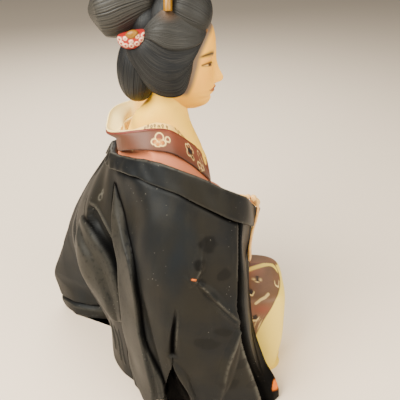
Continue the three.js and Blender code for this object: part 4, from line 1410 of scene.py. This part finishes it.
black = coat_paint()
combed_black = hair_paint()
skin_cream = skin_paint("painted_skin", colour(253, 191, 56), colour(248, 179, 50))
neck_cream = skin_paint("painted_neck", colour(254, 208, 72), colour(250, 196, 64))
brown = cloth_paint("painted_brown", colour(122, 86, 62), colour(106, 78, 52))
collar_brown = cloth_paint("collar_brown", colour(86, 46, 28), colour(76, 46, 28))
salmon = cloth_paint("painted_salmon", colour(198, 118, 80), colour(180, 106, 72))
piping_red = plain_paint("painted_red", colour(108, 36, 27), colour(86, 28, 20))
cream = cream_paint()
gold = plain_paint("gold_paint", colour(144, 102, 2), colour(112, 72, 2), 0.45)
dappled = dappled_paint()
comb_lacquer = comb_paint()
cord_cream = plain_paint("silk_cream", colour(236, 192, 112), colour(222, 158, 96), 0.6, scale=200)

formed("haori", 424, 232, coat_body, black)
formed("haori_collar_band", 44, 420, coat_collar_band, black)
formed("kimono_shoulders", 80, 60, kimono_body(), salmon)
formed("kimono_lap", 340, 140, lap(), brown)
formed("obi", 80, 40, obi, salmon)
formed("neck", 90, 70, neck(), neck_cream)
formed("head", 240, 180, face, skin_cream)
formed("hair_crown", 90, 60, bare_masks(lump([-14, 0, 215], [16.5, 15.5, 26])), combed_black)
formed("hair_stem", 60, 40, bare_masks(lump([-26, 0, 222], [11, 12, 12])), combed_black)
formed("hair_nape", 320, 70, nape, combed_black)
formed("hair_front_roll", 360, 70, front_roll, combed_black)
formed("hair_knot", 360, 80, knot, combed_black)
formed("comb", 24, 90, comb, comb_lacquer)
# Her left side doesn't show in the photograph, so it has fewer columns and rows.
for side, turned, fine in (("right", lambda at: at, 1), ("left", mirrored, 0.7)):
    formed("kimono_sleeve_" + side, 40, 30, turned(kimono_sleeve), salmon)
    rim = COLLAR_RIM if side == "right" else COLLAR_RIM_LEFT
    collar = turned(collar_strip(brown_section, rim, brown_masks))
    piping = turned(collar_strip(piping_section, rim))
    under = turned(collar_strip(cream_section, rim, cream_masks))
    columns, rows = round(70 * fine), round(400 * fine)
    formed("kimono_collar_" + side, columns, rows, collar, collar_brown)
    formed("collar_piping_" + side, 20, 160, piping, piping_red)
    formed("under_collar_" + side, 40, 220, under, cream)
    formed("cuff_" + side, 40, 30, turned(cuff), salmon)
    formed("hand_" + side, 40, 28, turned(PALM), skin_cream)
    columns, rows = round(560 * fine), round(80 * fine)
    formed("hair_wing_" + side, columns, rows, turned(wing), combed_black)
    formed("hair_cloth_" + side, 100, 60, turned(hair_cloth), dappled)
    formed("hairpin_" + side, 30, 20, turned(HAIR_PIN), gold)
    formed("tassel_" + side, 20, 100, tassel if side == "right" else tassel_left, cord_cream)
for i in range(4):
    formed("finger_%d" % i, 20, 24, finger(i), skin_cream)
formed("cord_tie", 16, 60, CORD_TIE, cord_cream)
formed("cord_middle", 24, 16, CORD_MIDDLE, cord_cream)
for i, bend in enumerate(CORD_KNOTS):
    formed("cord_knot_%d" % i, 24, 16, bend, cord_cream)


# Floor, camera and lights


def floor():
    bm = bmesh.new()
    bmesh.ops.create_grid(bm, x_segments=1, y_segments=1, size=3)
    mesh = bpy.data.meshes.new("floor")
    bm.to_mesh(mesh)
    bm.free()
    plain = Finish("pale_floor", colour(238, 226, 208), 0.8, 0.2)
    mesh.materials.append(plain.done())
    made = bpy.data.objects.new("floor", mesh)
    bpy.context.scene.collection.objects.link(made)


def spot(front, right, up):
    return Vector(place(np.array([front]), np.array([right]), np.array([up]))[0])


def look(thing, target):
    thing.rotation_euler = (target - thing.location).to_track_quat("-Z", "Y").to_euler()


def camera():
    """At her right and a little above, as far off as the photograph was taken."""
    distance = 350
    focal_pixels = 580
    picture_pixels = 400
    lens = bpy.data.cameras.new("camera")
    lens.sensor_width = 36
    lens.lens = lens.sensor_width * focal_pixels / picture_pixels
    lens.clip_start = 0.01
    made = bpy.data.objects.new("camera", lens)
    bpy.context.scene.collection.objects.link(made)
    rise = distance * math.sin(VIEW_SLOPE)
    made.location = spot(0, distance * math.cos(VIEW_SLOPE), VIEW_UP + rise)
    look(made, spot(0, 0, VIEW_UP))
    bpy.context.scene.camera = made


def softbox(name, front, right, up, size, power, warm):
    lamp = bpy.data.lights.new(name, "AREA")
    lamp.shape = "DISK"
    lamp.size = size
    lamp.energy = power
    lamp.color = warm
    made = bpy.data.objects.new(name, lamp)
    bpy.context.scene.collection.objects.link(made)
    made.location = spot(front, right, up)
    look(made, spot(-10, 0, 110))


def world():
    sky = bpy.data.worlds.new("sky")
    bpy.context.scene.world = sky
    sky.use_nodes = True
    background = sky.node_tree.nodes["Background"]
    background.inputs["Color"].default_value = (1.0, 0.95, 0.88, 1)
    background.inputs["Strength"].default_value = 0.2


floor()
camera()
softbox("key", -360, 330, 620, 0.5, 15.0, (1.0, 0.88, 0.74))
softbox("fill", 420, 380, 420, 0.6, 6.0, (1.0, 0.87, 0.72))
softbox("back", -160, -460, 560, 0.6, 6.0, (1.0, 0.92, 0.82))
world()

bpy.context.view_layer.update()
